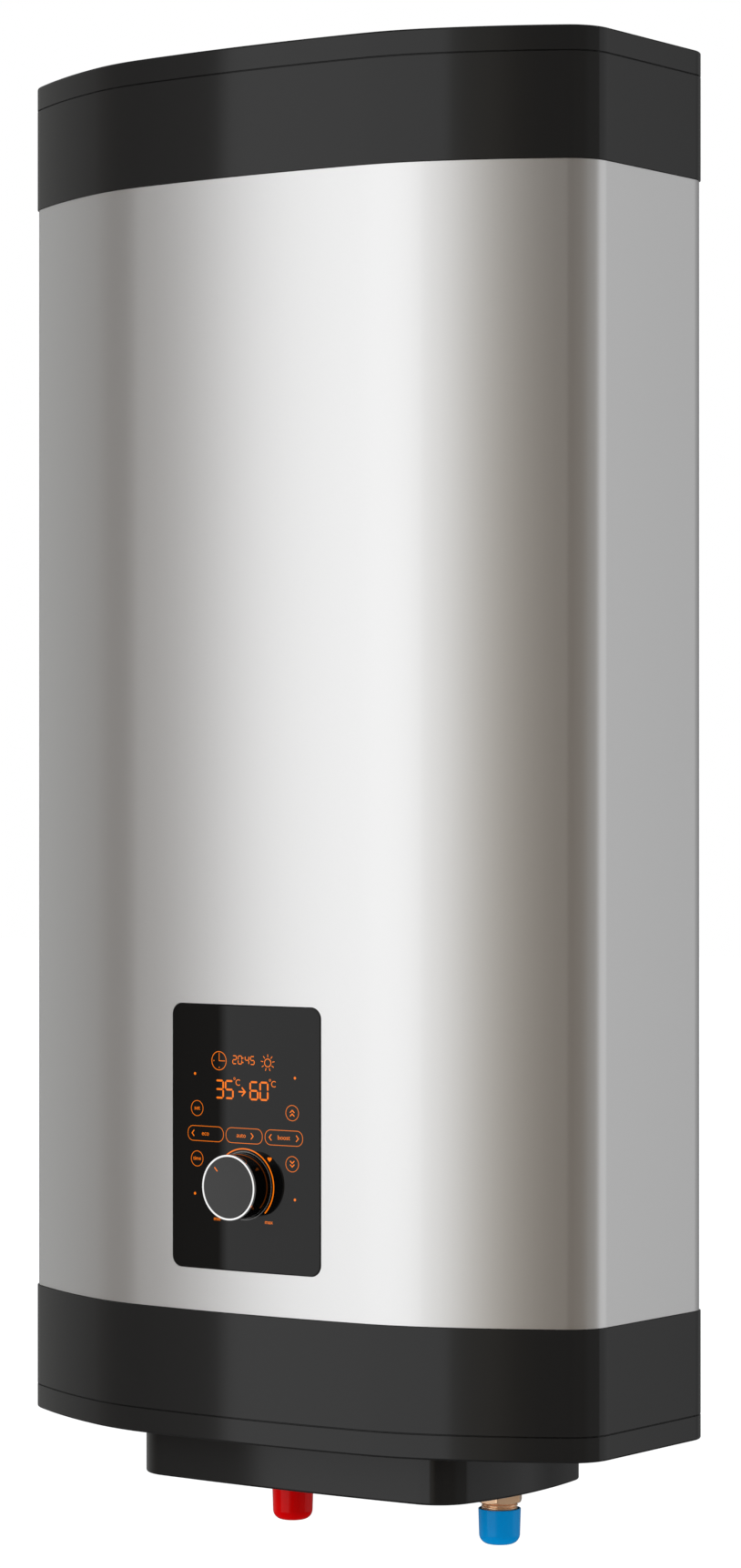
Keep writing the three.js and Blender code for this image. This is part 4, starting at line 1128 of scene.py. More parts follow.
@dataclass
class Artwork:
    """Flat marks on the panel, as x and height above the panel's lower edge."""

    points: list[np.ndarray] = field(default_factory=list)
    faces: list[np.ndarray] = field(default_factory=list)
    count: int = 0
    least_steps: int = 12  # of an arc
    least_radius: float = 4.0  # a smaller arc has the steps of one of this radius
    arc_step: float = 20.0  # degrees that a step covers at a radius of 1
    dot_steps: int = 24
    least_mitre: float = 0.4  # keeps the mitre of a sharp corner short
    bar_gap: float = 0.22  # half the gap between two bars of a figure, as a share of a bar's width
    small_x: float = 0.5  # height of a small x, as a share of the font's size

    def add(self, points: np.ndarray, faces: np.ndarray) -> None:
        """Adds one flat mark.

        Args:
            points: Its points.
            faces: Its quads, a triangle repeating its last point.
        """
        self.points.append(points)
        self.faces.append(faces + self.count)
        self.count += len(points)

    def line(self, path: np.ndarray | list[tuple[float, float]], width: float, closed: bool = False) -> None:
        """Draws a line of even width: each point moves to both sides along its mitre.

        Args:
            path: The line's points.
            width: Its width.
            closed: Whether its last point runs on to its first.
        """
        path = np.asarray(path, dtype=float)
        if closed:
            before, after = np.roll(path, 1, axis=0), np.roll(path, -1, axis=0)
        else:
            before = np.vstack([2 * path[0] - path[1], path[:-1]])
            after = np.vstack([path[1:], 2 * path[-1] - path[-2]])
        enter, leave = path - before, after - path
        enter /= np.linalg.norm(enter, axis=1, keepdims=True)
        leave /= np.linalg.norm(leave, axis=1, keepdims=True)
        across = np.column_stack([-(enter + leave)[:, 1], (enter + leave)[:, 0]])
        across /= np.linalg.norm(across, axis=1, keepdims=True)
        normal = np.column_stack([-enter[:, 1], enter[:, 0]])
        reach = width / 2 / np.maximum(np.sum(across * normal, axis=1), self.least_mitre)
        sides = np.stack([path + across * reach[:, None], path - across * reach[:, None]])
        self.add(sides.reshape(-1, 2), grid_faces(2, len(path), wrap_columns=closed))

    def arc(
        self, x: float, z: float, radius: float, width: float, start: float = 0.0, end: float = 360.0
    ) -> None:
        """Draws an arc, by default a whole ring.

        Args:
            x: Its centre across the panel.
            z: Its centre's height.
            radius: Its radius at the middle of the line.
            width: The line's width.
            start: Where it starts, in degrees clockwise from the top.
            end: Where it ends.
        """
        closed = end - start >= 360.0
        count = int(abs(end - start) * max(radius, self.least_radius) / self.arc_step)
        count = max(self.least_steps, count)
        angle = np.radians(np.linspace(start, end, count + 1)[: count if closed else None])
        path = np.column_stack([x + radius * np.sin(angle), z + radius * np.cos(angle)])
        self.line(path, width, closed)

    def fill(self, corners: np.ndarray) -> None:
        """Fills a shape that can be seen whole from its middle, as a fan.

        Args:
            corners: Its corners in turn.
        """
        count = len(corners)
        index = np.arange(count)
        hub = np.full(count, count)
        points = np.vstack([corners, corners.mean(axis=0)])
        self.add(points, np.column_stack([index, (index + 1) % count, hub, hub]))

    def dot(self, x: float, z: float, radius: float) -> None:
        """Fills a disc."""
        self.fill(circle(x, z, radius, self.dot_steps))

    def chevron(
        self, tip: tuple[float, float], back: tuple[float, float], side: tuple[float, float], width: float
    ) -> None:
        """Draws an arrowhead.

        Args:
            tip: Its tip.
            back: The way from the tip to the middle between its ends.
            side: The way from there to its first end.
            width: The line's width.
        """
        tip, back, side = (np.array(value) for value in (tip, back, side))
        self.line(np.array([tip + back + side, tip, tip + back - side]), width)

    def digits(self, text: str, x: float, z: float, size: Figures) -> None:
        """Draws seven-segment figures: each lit segment is a bar with pointed ends.

        Args:
            text: The figures.
            x: The first figure's left.
            z: The figures' foot.
            size: Their size.
        """
        lit = {"0": "abcdef", "2": "abged", "3": "abgcd", "4": "fgbc", "5": "afgcd", "6": "afgedc"}
        wide, tall, bar = size.width, size.height, size.bar
        half = tall / 2
        ends = {
            "a": ((0, tall), (wide, tall)),
            "b": ((wide, half), (wide, tall)),
            "c": ((wide, 0), (wide, half)),
            "d": ((0, 0), (wide, 0)),
            "e": ((0, 0), (0, half)),
            "f": ((0, half), (0, tall)),
            "g": ((0, half), (wide, half)),
        }
        gap = bar * self.bar_gap
        for place, figure in enumerate(text):
            corner = np.array([x + place * size.pitch, z])
            for segment in lit[figure]:
                start, end = (np.array(point, dtype=float) for point in ends[segment])
                along = (end - start) / np.linalg.norm(end - start)
                across = np.array([-along[1], along[0]]) * bar / 2
                start, end = start + along * gap, end - along * gap
                inner = along * bar / 2
                shape = [start, start + inner - across, end - inner - across]
                shape += [end, end - inner + across, start + inner + across]
                self.fill(np.array(shape) + corner)

    def words(self, text: str, x: float, z: float, height: float) -> None:
        """Sets a word.

        Args:
            text: The word.
            x: Its middle.
            z: The middle of its small letters, or of its capitals' lower part.
            height: Height of a small x.
        """
        curve = bpy.data.curves.new("word", "FONT")
        curve.body, curve.align_x, curve.resolution_u = text, "CENTER", 3
        writer = put("word", curve)
        bpy.context.view_layer.update()
        view = bpy.context.evaluated_depsgraph_get()
        mesh = bpy.data.meshes.new_from_object(writer.evaluated_get(view))
        mesh.calc_loop_triangles()
        places = np.zeros(len(mesh.vertices) * 3)
        mesh.vertices.foreach_get("co", places)
        triangles = np.zeros(len(mesh.loop_triangles) * 3, dtype=np.int32)
        mesh.loop_triangles.foreach_get("vertices", triangles)
        triangles = triangles.reshape(-1, 3)
        flat = places.reshape(-1, 3)[:, :2] * (height / self.small_x)
        self.add(flat + np.array([x, z - height / 2]), np.column_stack([triangles, triangles[:, 2]]))
        for block, stock in ((writer, bpy.data.objects), (curve, bpy.data.curves), (mesh, bpy.data.meshes)):
            stock.remove(block)


@dataclass
class ControlPanel:
    """The bowed glass with its lit marks.

    A mark's place is its x and its height above the glass's lower edge.
    """

    plan: Plan
    radius: float = 7.0
    thickness: float = 3.0
    edge: float = 0.5
    edge_steps: int = 6
    edge_margin: float = 3.0  # from the glass's outline to where its rings turn round the shaft's hole
    rings: int = 36
    proud: float = 0.05  # marks over the glass
    shaft_hole: float = 4.2
    fit: float = 0.3
    knob_rise: float = 52.7
    time_row: float = 128.9
    time_foot: float = 127.5
    time_figures: Figures = Figures(2.8, 4.9, 4.15, 0.6)
    clock_x: float = -19.4
    clock_radius: float = 5.65
    sun_x: float = 18.2
    sun_radius: float = 2.4
    sun_rays: tuple[float, float] = (3.5, 5.2)  # where they start and end
    heat_row: float = 106.1
    heat_figures: Figures = Figures(5.7, 10.6, 7.6, 1.2)
    degree_row: float = 118.3
    degree_radius: float = 0.6
    arrow_row: float = 110.4
    light_rows: tuple[float, float] = (120.3, 46.0)
    light_columns: tuple[float, float] = (-38.5, 38.5)
    light_radius: float = 0.85
    button_rows: tuple[float, float] = (98.9, 67.7)
    button_columns: tuple[float, float] = (-36.8, 36.5)
    button_radius: float = 4.7
    key_row: float = 83.4
    key_rows: tuple[float, float] = (78.8, 88.0)  # lower and upper edge
    key_columns: tuple[tuple[float, float], ...] = ((-44.2, -15.9), (-13.9, 14.1), (16.2, 44.2))
    key_radius: float = 4.2
    scale_radius: float = 22.7
    scale_end: float = 135.0  # degrees from the top
    foot_ring_radius: float = 20.9
    heart: tuple[float, float] = (19.6, 69.9)
    end_row: float = 31.1
    fine: float = 0.34
    line: float = 0.42
    bold: float = 0.62
    heavy: float = 0.9

    def __post_init__(self) -> None:
        """Takes the glass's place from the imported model."""
        low, high = node_box("control_glass")
        self.low_edge = float(low[2])
        self.inset = float(low[1] - self.plan.y[0])
        self.pane = RoundedWindow((low[2] + high[2]) / 2, high[0], (high[2] - low[2]) / 2, self.radius)

    def window(self) -> RoundedWindow:
        """Returns the jacket's window, a fit larger than the glass."""
        grown = [value + self.fit for value in (self.pane.half_width, self.pane.half_height, self.radius)]
        return RoundedWindow(self.pane.centre_z, *grown)

    def build(self) -> None:
        """Builds the glass and its marks."""
        self._glass()
        lit, grey = Artwork(), Artwork()
        self._display(lit)
        self._keys(lit)
        self._dial(lit, grey)
        self._emboss(lit, "lit_marks", ORANGE_GLOW)
        # The grey ring round the knob's foot is a painted highlight.
        self._emboss(grey, "knob_foot_painted_highlight", GREY_PAINTED_HIGHLIGHT)

    def _glass(self) -> None:
        """Grinds the pane: rings run on the bow from its rounded edge to the shaft's hole and back."""
        ease = np.linspace(0, math.pi / 2, self.edge_steps)
        insets, drops = (1 - np.cos(ease)) * self.edge, (1 - np.sin(ease)) * self.edge
        edges = [self.pane.ring(-inset) for inset in insets]
        centre = np.array([0.0, self.low_edge + self.knob_rise])
        inner = self.pane.ring(-self.edge_margin)
        spoke = inner - centre
        hole = centre + self.shaft_hole * spoke / np.linalg.norm(spoke, axis=1, keepdims=True)
        front = [inner + share * (hole - inner) for share in np.linspace(0.0, 1.0, self.rings)]
        back = front[::-1] + [self.pane.ring(0.0)]
        flat = np.stack(edges + front + back)
        depth = np.concatenate([drops, np.zeros(len(front)), np.full(len(back), self.thickness)])[:, None]
        y = self.plan.front_y(flat[..., 0], self.inset) + depth
        shell = Shell().add_grid(np.stack([flat[..., 0], y, flat[..., 1]], axis=-1), wrap_rows=True)
        shell.make(Piece("panel_glass", BACKED_GLASS, "black_glass", "control_glass"))

    def _emboss(self, art: Artwork, name: str, finish: Finish) -> None:
        """Raises flat marks a hair over the bowed glass, as thin closed plates.

        Args:
            art: The marks.
            name: The piece's name.
            finish: Its finish.
        """
        flat = np.vstack(art.points)
        base = self.plan.front_y(flat[:, 0], self.inset)
        height = flat[:, 1] + self.low_edge
        skins = [np.column_stack([flat[:, 0], base + y, height]) for y in (-self.proud, self.proud)]
        Shell().add(*thicken(*skins, np.vstack(art.faces))).make(Piece(name, finish, "black_glass"))

    def _display(self, art: Artwork) -> None:
        """Draws the clock, the time, the sun, both temperatures and the four lights.

        Args:
            art: The lit marks.
        """
        row, hub = self.time_row, self.clock_x + 0.1
        art.arc(self.clock_x, row, self.clock_radius, self.line)
        art.line([(hub, row + 5.0), (hub, row), (hub + 4.7, row)], self.line)
        for x, z in ((hub - 4.1, row), (hub, row - 4.1)):
            art.dot(x, z, 0.35)
        for text, x in (("20", -8.6), ("45", 1.0)):
            art.digits(text, x, self.time_foot, self.time_figures)
        for z in (row - 0.4, row + 2.3):
            art.dot(-0.75, z, self.line)
        art.arc(self.sun_x, row, self.sun_radius, 0.55)
        for ray in np.arange(9) * TURN / 9:
            way = np.array([[math.sin(ray), math.cos(ray)]])
            art.line(np.array([self.sun_x, row]) + way * np.array(self.sun_rays)[:, None], 0.5)
        for text, x in (("35", -21.8), ("60", 4.9)):
            art.digits(text, x, self.heat_row, self.heat_figures)
        for x in (-7.3, 19.9):
            art.arc(x, self.degree_row, self.degree_radius, 0.3)
            art.words("C", x + 2.6, self.degree_row - 2.8, 2.8)
        art.line([(-4.1, self.arrow_row), (0.4, self.arrow_row)], self.heavy)
        art.chevron((1.0, self.arrow_row), (-2.6, 0.0), (0.0, 2.6), self.heavy)
        for x in self.light_columns:
            for z in self.light_rows:
                art.dot(x, z, self.light_radius)

    def _keys(self, art: Artwork) -> None:
        """Draws the four round buttons and the three long keys.

        Args:
            art: The lit marks.
        """
        upper, lower = self.button_rows
        left, right = self.button_columns
        for x in self.button_columns:
            for z in self.button_rows:
                art.arc(x, z, self.button_radius, self.fine)
        for step in (-0.5, 1.7):
            art.chevron((right, upper + step), (0.0, -1.5), (-1.6, 0.0), self.bold)
            art.chevron((right, lower - step), (0.0, 1.5), (-1.6, 0.0), self.bold)
        art.words("set", left, upper, 1.9)
        art.words("time", left, lower, 1.75)
        foot, head = self.key_rows
        for start, end in self.key_columns:
            corners = ((start, foot), (end, foot), (end, head), (start, head))
            outline = rounded([(*corner, self.key_radius) for corner in corners], steps=10)
            art.line(outline, self.fine, closed=True)
        for x, way in ((-40.9, 1.7), (7.1, -1.7), (19.3, 1.7), (41.1, -1.7)):
            art.chevron((x, self.key_row), (way, 0.0), (0.0, 1.9), self.bold)
        for text, x in (("eco", -30.2), ("auto", -2.1), ("boost", 30.2)):
            art.words(text, x, self.key_row - 0.1, 2.0)

    def _dial(self, art: Artwork, grey: Artwork) -> None:
        """Draws the knob's scale, a grey ring round its foot that is a painted highlight, a heart from its
        textbook curve, and the end words.

        Args:
            art: The lit marks.
            grey: The grey ring round the knob's foot, a painted highlight.
        """
        art.arc(0.0, self.knob_rise, self.scale_radius, 0.75, -self.scale_end, self.scale_end)
        # Painted highlight: a thin grey ring on the glass round the knob's foot.
        grey.arc(0.0, self.knob_rise, self.foot_ring_radius, 0.5)
        turn = np.linspace(0, TURN, 40)[:-1]
        lobes = 13 * np.cos(turn) - 5 * np.cos(2 * turn) - 2 * np.cos(3 * turn) - np.cos(4 * turn)
        art.fill(np.column_stack([1.6 * np.sin(turn) ** 3, lobes / 10]) + np.array(self.heart))
        for text, x in (("min", -20.9), ("max", 19.0)):
            art.words(text, x, self.end_row, 1.8)


@dataclass
class Knob:
    """The rotary knob: a polished barrel, a bright ring and a dished face with a pointer."""

    radius: float = 20.15
    bore: float = 3.3
    bore_depth: float = 9.8
    bore_edge: float = 0.3
    back_edge: float = 0.6
    front_edge: float = 0.25
    ring_width: float = 1.35
    ring_edges: tuple[float, ...] = (0.1, 0.1, 0.2, 0.15)  # inner back, outer back, outer front, inner front
    fit: float = 0.3
    dish: float = 0.3
    foot_edge: float = 0.1
    face_rim: float = 1.0  # flat round the dish
    pointer: float = -42.0  # degrees clockwise from the top
    pointer_half_width: float = 0.35
    pointer_length: float = 3.4
    pointer_reach: float = 16.2
    pointer_round: float = 0.98  # radius of its ends, as a share of its half width
    pointer_sink: float = 0.1
    pointer_proud: float = 0.04
    steps_round: int = 160
    bowl_steps: int = 24

    def __post_init__(self) -> None:
        """Takes the knob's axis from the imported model."""
        low, high = node_box("knob_body")
        self.centre = (float(low[0] + high[0]) / 2, float(low[2] + high[2]) / 2)
        self.back, self.shoulder = float(high[1]), float(low[1])
        self.face_radius = self.radius - self.ring_width - self.fit
        self.dish_radius = self.face_radius - self.face_rim

    def build(self) -> None:
        """Turns the three parts and prints the pointer."""
        self._part("knob_barrel", self._barrel(), PIANO_ABS, "knob_black", "knob_body")
        # The bright ring's chrome carries a painted highlight as a grey glow.
        self._part("knob_bright_ring", self._ring(), CHROME_PAINTED_GLOW, "chrome_trim", "knob_ring")
        self._part("knob_dished_face", self._face(), ERODED_ABS, "knob_grey", "knob_face")
        self._pointer()

    def _part(self, name: str, profile: np.ndarray, finish: Finish, slot: str, node: str) -> None:
        """Turns one part about the knob's axis.

        Args:
            name: The part's name.
            profile: Its rows of radius and level.
            finish: Its finish.
            slot: Its material slot.
            node: The CAD node that it stands for.
        """
        closed = bool(profile[0, 0] > 0)
        shell = Shell().add_grid(turned(profile, Axis.OUT, self.centre, self.steps_round), wrap_rows=closed)
        shell.make(Piece(name, finish, slot, node, "knob"))

    def _barrel(self) -> np.ndarray:
        """Draws the barrel from the bore's end round to the front.

        Returns:
            Rows of radius and level.
        """
        end = self.back - self.bore_depth
        corners = [(0, end, 0), (self.bore, end, 0), (self.bore, self.back, self.bore_edge)]
        corners += [(self.radius, self.back, self.back_edge), (self.radius, self.shoulder, self.front_edge)]
        return rounded([*corners, (0, self.shoulder, 0)], closed=False)

    def _ring(self) -> np.ndarray:
        """Draws the ring's closed section, with its edges eased.

        Returns:
            Rows of radius and level.
        """
        back, front = node_box("knob_ring")[::-1, 1]
        inner = self.radius - self.ring_width
        corners = ((inner, back), (self.radius, back), (self.radius, front), (inner, front))
        return rounded([(*corner, edge) for corner, edge in zip(corners, self.ring_edges)])

    def _face(self) -> np.ndarray:
        """Draws the face: a disc whose front falls to its middle as a shallow bowl.

        Returns:
            Rows of radius and level.
        """
        back, front = node_box("knob_face")[::-1, 1]
        rim = self.face_radius
        corners = [(0, back, 0), (rim, back, self.foot_edge), (rim, front, self.front_edge)]
        edge = rounded([*corners, (self.dish_radius, front, 0)], closed=False)
        radius = np.linspace(self.dish_radius, 0.0, self.bowl_steps)[1:]
        bowl = np.column_stack([radius, front + self._sunk(radius)])
        return np.vstack([edge, bowl])

    def _sunk(self, radius: np.ndarray) -> np.ndarray:
        """Returns how far the dish lies behind its rim: it grows by the square of the way in."""
        return self.dish * (1 - (radius / self.dish_radius) ** 2)

    def _pointer(self) -> None:
        """Prints the pointer near the face's rim, as a thin plate with round ends that follows the dish."""
        half, reach = self.pointer_half_width, self.pointer_reach
        foot = reach - self.pointer_length
        ends = ((-half, foot), (half, foot), (half, reach), (-half, reach))
        shape = rounded([(x, z, half * self.pointer_round) for x, z in ends])
        angle = math.radians(-self.pointer)
        turn = np.array([[math.cos(angle), -math.sin(angle)], [math.sin(angle), math.cos(angle)]])
        points, faces = flat_face(shape @ turn.T + np.array(self.centre), [], 0.0)
        spread = np.hypot(points[:, 0] - self.centre[0], points[:, 1] - self.centre[1])
        level = float(node_box("knob_face")[0, 1]) + self._sunk(spread)
        offsets = (-self.pointer_proud, self.pointer_sink)
        skins = [np.column_stack([points[:, 0], level + y, points[:, 1]]) for y in offsets]
        piece = Piece("knob_pointer", ORANGE_GLOW, "knob_grey", body="knob")
        Shell().add(*thicken(*skins, faces)).make(piece)


# Underside


@dataclass
class ServiceCover:
    """The tray under the casing, its four screws and the cable bush."""

    half_width: float = 132.0
    bends: Bends = ((None, 3.6), (27.0, 74.0), (224.0, 90.0), (319.0, 100.0))
    wall: float = 2.5
    edge: float = 1.4
    rim_edge: float = 0.4
    fillet: float = 1.0
    pipe_hole: float = 18.6
    gland_hole: float = 8.3
    boss_radius: float = 4.5
    boss_inset: float = 16.0
    front_setback: float = 13.5  # by which the front screws lie further in than the rear ones
    seat_radius: float = 4.2
    seat_depth: float = 1.4
    head_radius: float = 3.6
    head_height: float = 1.3
    head_sink: float = 0.02  # by which the head's foot is sunk in its seat
    cross_depth: float = 0.8
    cross_half_width: float = 0.34
    cross_share: float = 0.62  # reach of the cross, as a share of the head's radius
    cross_ramp: float = 0.12  # over which it rises to the head there, as such a share
    dome_share: float = 0.98  # part of a full dome that the head shows
    dome_power: float = 2.6  # above 2, which makes the dome flatter than a ball
    bush_bore: float = 3.7
    bush_tip: float = 7.0
    bush_tip_edge: float = 0.6
    bush_collar: float = 8.2
    bush_collar_rise: float = 2.2
    bush_shoulder: float = 10.9
    bush_shoulder_rise: float = 2.4
    bush_head: float = 11.0
    bush_neck: float = 8.0
    bush_gap: float = 0.3  # under the tray, and the head's edge there
    bush_edge: float = 0.5
    hole_steps: int = 96
    seat_steps: int = 48
    head_rings: int = 26
    bush_steps: int = 72

    def __post_init__(self) -> None:
        """Draws the tray's plan."""
        low, high = node_box("service_cover")
        self.floor, self.rim = float(low[2]), float(high[2])
        self.front, self.rear = float(low[1]), float(high[1])
        self.plan = Plan(self.half_width, self.front, self.rear, self.bends, None)

    def build(self) -> None:
        """Moulds the tray and adds its screws and its bush."""
        rows = (self.front + self.boss_inset + self.front_setback, self.rear - self.boss_inset)
        across = self.half_width - self.boss_inset
        seats = [(x, y) for x in (-across, across) for y in rows]
        self._tray(seats)
        for number, (x, y) in enumerate(seats, start=1):
            self._screw(f"cover_screw_{number}", x, y)
        self._bush()

    def _tray(self, seats: list[tuple[float, float]]) -> None:
        """Carries the tray's wall round its plan and closes its floor round the holes.

        Args:
            seats: The screws' places.
        """
        inner = self.floor + self.wall
        section = rounded(
            [
                (self.edge + BRIM, self.floor, 0.0),
                (0.0, self.floor, self.edge),
                (0.0, self.rim, self.rim_edge),
                (self.wall, self.rim, self.rim_edge),
                (self.wall, inner, self.fillet),
                (self.wall + BRIM, inner, 0.0),
            ],
            closed=False,
            steps=8,
        )
        pipes = [node_middle(f"{side}_pipe") for side in ("hot", "cold")]
        holes = [circle(x, y, self.pipe_hole, self.hole_steps) for x, y, _ in pipes]
        holes += [circle(*node_middle("cable_gland")[:2], self.gland_hole)]
        dips = [circle(x, y, self.seat_radius, self.seat_steps) for x, y in seats]
        bosses = [circle(x, y, self.boss_radius, self.seat_steps) for x, y in seats]
        shell = Shell().add_grid(self.plan.carry(section))
        shell.add_face(self.plan.ring(section[0, 0]), holes + dips, section[0, 1])
        shell.add_face(self.plan.ring(section[-1, 0]), holes + bosses, section[-1, 1])
        for hole in holes:
            shell.add_tube(hole, self.floor, inner)
        seat = self.floor + self.seat_depth
        for dip, boss in zip(dips, bosses):
            shell.add_tube(dip, self.floor, seat).add_face(dip, [], seat)
            shell.add_tube(boss, inner, self.rim).add_face(boss, [], self.rim)
        shell.make(Piece("service_cover_tray", BLACK_ABS, "black_plastic", "service_cover"))

    def _screw(self, name: str, x: float, y: float) -> None:
        """Turns a low round head in its seat, and sinks a cross in it.

        The head is a dome, and the cross is as deep as the nearer of two slots that narrow outwards.

        Args:
            name: The screw's name.
            x: Its place across the tray.
            y: Its place along the tray's depth.
        """
        top = self.floor + self.seat_depth - self.head_sink
        steps = self.hole_steps
        share = np.linspace(0, 1, self.head_rings)[:, None]
        angle = np.arange(steps) * TURN / steps
        dome = self.head_height * np.sqrt(1 - (share * self.dome_share) ** self.dome_power)
        aside = np.abs(np.sin(2 * angle)) * share * self.head_radius / 2
        slot = np.clip(1 - aside / self.cross_half_width, 0, 1)
        slot = slot * np.clip((self.cross_share - share) / self.cross_ramp, 0, 1)
        px = x + share * self.head_radius * np.cos(angle)
        py = y + share * self.head_radius * np.sin(angle)
        head = np.stack([px, py, top - dome + self.cross_depth * slot], axis=-1)
        foot = np.stack([px[-1], py[-1], np.full(steps, top)], axis=-1)
        shell = Shell().add_grid(np.concatenate([head, foot[None]])).add_face(foot[:, :2], [], top)
        shell.make(Piece(name, ZINC_SCREW, "galvanised_steel", crease=50.0))

    def _bush(self) -> None:
        """Turns the cable bush: a head with a stepped tip, a neck in the tray and a bore."""
        low, high = node_box("cable_gland")
        tip, end, seat, edge = low[2], high[2], self.floor - self.bush_gap, self.bush_edge
        profile = rounded(
            [
                (self.bush_bore, tip, edge),
                (self.bush_tip, tip, self.bush_tip_edge),
                (self.bush_collar, tip + self.bush_collar_rise, edge),
                (self.bush_shoulder, tip + self.bush_shoulder_rise, edge),
                (self.bush_head, seat, self.bush_gap),
                (self.bush_neck, seat, 0.0),
                (self.bush_neck, end, edge),
                (self.bush_bore, end, edge),
            ],
        )
        x, y = (low[:2] + high[:2]) / 2
        shell = Shell().add_grid(turned(profile, Axis.UP, (x, y), self.bush_steps), wrap_rows=True)
        shell.make(Piece("cable_bush", RUBBER, "rubber", "cable_gland"))


class Side(Enum):
    """The water side of a fitting."""

    HOT = "hot"
    COLD = "cold"


@dataclass
class WaterFitting:
    """One hexagon fitting with its male thread, and the transit cap on it."""

    side: Side
    flats: float = 27.0
    turn: float = 2.2  # degrees that the flats are turned clockwise
    hex_height: float = 19.4
    chamfer: float = 1.3
    corner_cut: float = 0.15  # by which the hexagon's corners are turned down
    face_radius: float = 13.0
    crest: float = 11.5
    root: float = 10.4
    pitch: float = 1.814
    tooth_middle: float = 0.65  # height of the tooth's wave about which it swings, before it is cut to 0..1
    tooth_swing: float = 0.8
    run_in: float = 1.2  # over which the thread rises under the hexagon
    run_out: float = 1.6  # over which it falls at the end
    waterway: float = 7.0
    end_chamfer: float = 0.4
    socket: float = 9.3
    socket_stop: float = 4.0
    cap_radius: float = 13.5
    cap_foot: float = 12.8
    cap_lift: float = 0.8  # of the foot above the CAD cap's
    cap_corner: float = 6.3
    cap_rim: float = 0.45
    cap_bore: float = 12.7
    cap_bore_edge: float = 0.3
    cap_floor: float = 1.8
    cap_cove: tuple[float, float] = (3.0, 2.0)  # across and up, between the bore and the floor
    cove_radii: tuple[float, float] = (1.6, 1.5)  # of its upper and its lower bend
    steps_round: int = 144
    chamfer_steps: int = 9
    side_steps: int = 8
    thread_steps: int = 240
    cap_steps: int = 128

    def __post_init__(self) -> None:
        """Takes the fitting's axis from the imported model."""
        low, high = node_box(f"{self.side.value}_fitting")
        self.centre = (float(low[0] + high[0]) / 2, float(low[1] + high[1]) / 2)
        self.end, self.top = float(low[2]), float(high[2])

    def build(self) -> None:
        """Makes the fitting and its cap."""
        self._fitting()
        self._cap()

    def _fitting(self) -> None:
        """Turns and mills the fitting as one radius over angle and path.

        On the hexagon the radius is the lesser of the chamfer's cone and the flats, where a flat's radius
        is its half width over the cosine of the angle from its middle. On the thread the radius is the
        root plus a tooth whose phase advances by one turn in each pitch, and fades at both ends.
        """
        smooth, milled, threaded = range(3)
        foot = self.top - self.hex_height
        circum = self.flats / math.sqrt(3) - self.corner_cut
        ramp = np.linspace(0, 1, self.chamfer_steps)
        cone = self.face_radius + (circum - self.face_radius) * ramp
        thread = np.linspace(foot, self.end, self.thread_steps)
        side = np.linspace(self.top - self.chamfer, foot + self.chamfer, self.side_steps)[1:-1]
        mouth = [self.end, self.end + self.end_chamfer]
        runs = [
            (smooth, [self.socket, self.face_radius], [self.top, self.top]),
            (milled, cone, self.top - self.chamfer * ramp),
            (milled, np.full(len(side), circum), side),
            (milled, cone[::-1], foot + self.chamfer * ramp[::-1]),
            (threaded, np.full(len(thread), self.root), thread),
            (smooth, [self.waterway + self.end_chamfer, self.waterway], mouth),
            (smooth, [self.waterway, self.socket], np.full(2, foot + self.socket_stop)),
        ]
        kind = np.concatenate([np.full(len(level), cut) for cut, _, level in runs])[:, None]
        radius = np.concatenate([radius for _, radius, _ in runs])[:, None]
        level = np.concatenate([level for _, _, level in runs])[:, None]
        angle = np.arange(self.steps_round) * TURN / self.steps_round
        sixth = TURN / 6
        flat = self.flats / 2 / np.cos((angle + math.radians(self.turn)) % sixth - sixth / 2)
        phase = (level / self.pitch + angle / TURN) * TURN
        tooth = np.clip(self.tooth_middle + self.tooth_swing * np.cos(phase), 0, 1)
        fade = np.clip((foot - level) / self.run_in, 0, 1) * np.clip((level - self.end) / self.run_out, 0, 1)
        shape = np.where(kind == milled, np.minimum(radius, flat), radius)
        shape = np.where(kind == threaded, self.root + (self.crest - self.root) * tooth * fade, shape)
        x = self.centre[0] + shape * np.cos(angle)
        y = self.centre[1] + shape * np.sin(angle)
        grid = np.stack([x, y, np.broadcast_to(level, x.shape)], axis=-1)
        node = f"{self.side.value}_fitting"
        piece = Piece(f"{node}_threaded", COPPER, "copper", node, crease=28.0)
        Shell().add_grid(grid, wrap_rows=True).make(piece)

    def _cap(self) -> None:
        """Turns the cap: a slightly flared cup with a well-rounded foot and an eased rim."""
        node = f"{self.side.value}_cap"
        low, rim = node_box(node)[:, 2]
        foot = low + self.cap_lift
        floor = foot + self.cap_floor
        aside, up = self.cap_cove
        profile = rounded(
            [
                (0.0, foot, 0.0),
                (self.cap_foot, foot, self.cap_corner),
                (self.cap_radius, rim, self.cap_rim),
                (self.cap_bore, rim, self.cap_bore_edge),
                (self.cap_bore, floor + up, self.cove_radii[0]),
                (self.cap_bore - aside, floor, self.cove_radii[1]),
                (0.0, floor, 0.0),
            ],
            closed=False,
            steps=14,
        )
        finish, slot = (RED_PE, "red_plastic") if self.side is Side.HOT else (BLUE_PE, "blue_plastic")
        shell = Shell().add_grid(turned(profile, Axis.UP, self.centre, self.cap_steps))
        shell.make(Piece(f"{node}_cup", finish, slot, node, node))


class InnerParts:
    """The CAD nodes whose shape is right, which keep their mesh and get a finish."""

    def dress(self) -> None:
        """Gives each CAD node the finish of its slot."""
        for name, node in frame["nodes"].items():
            for material_slot in node.material_slots:
                base = material_slot.material.name.split(".")[0] if material_slot.material else ""
                if base in SLOT_FINISHES:
                    material_slot.material = SLOT_FINISHES[base].material()
            log.info("%s: dressed", name)


# Studio


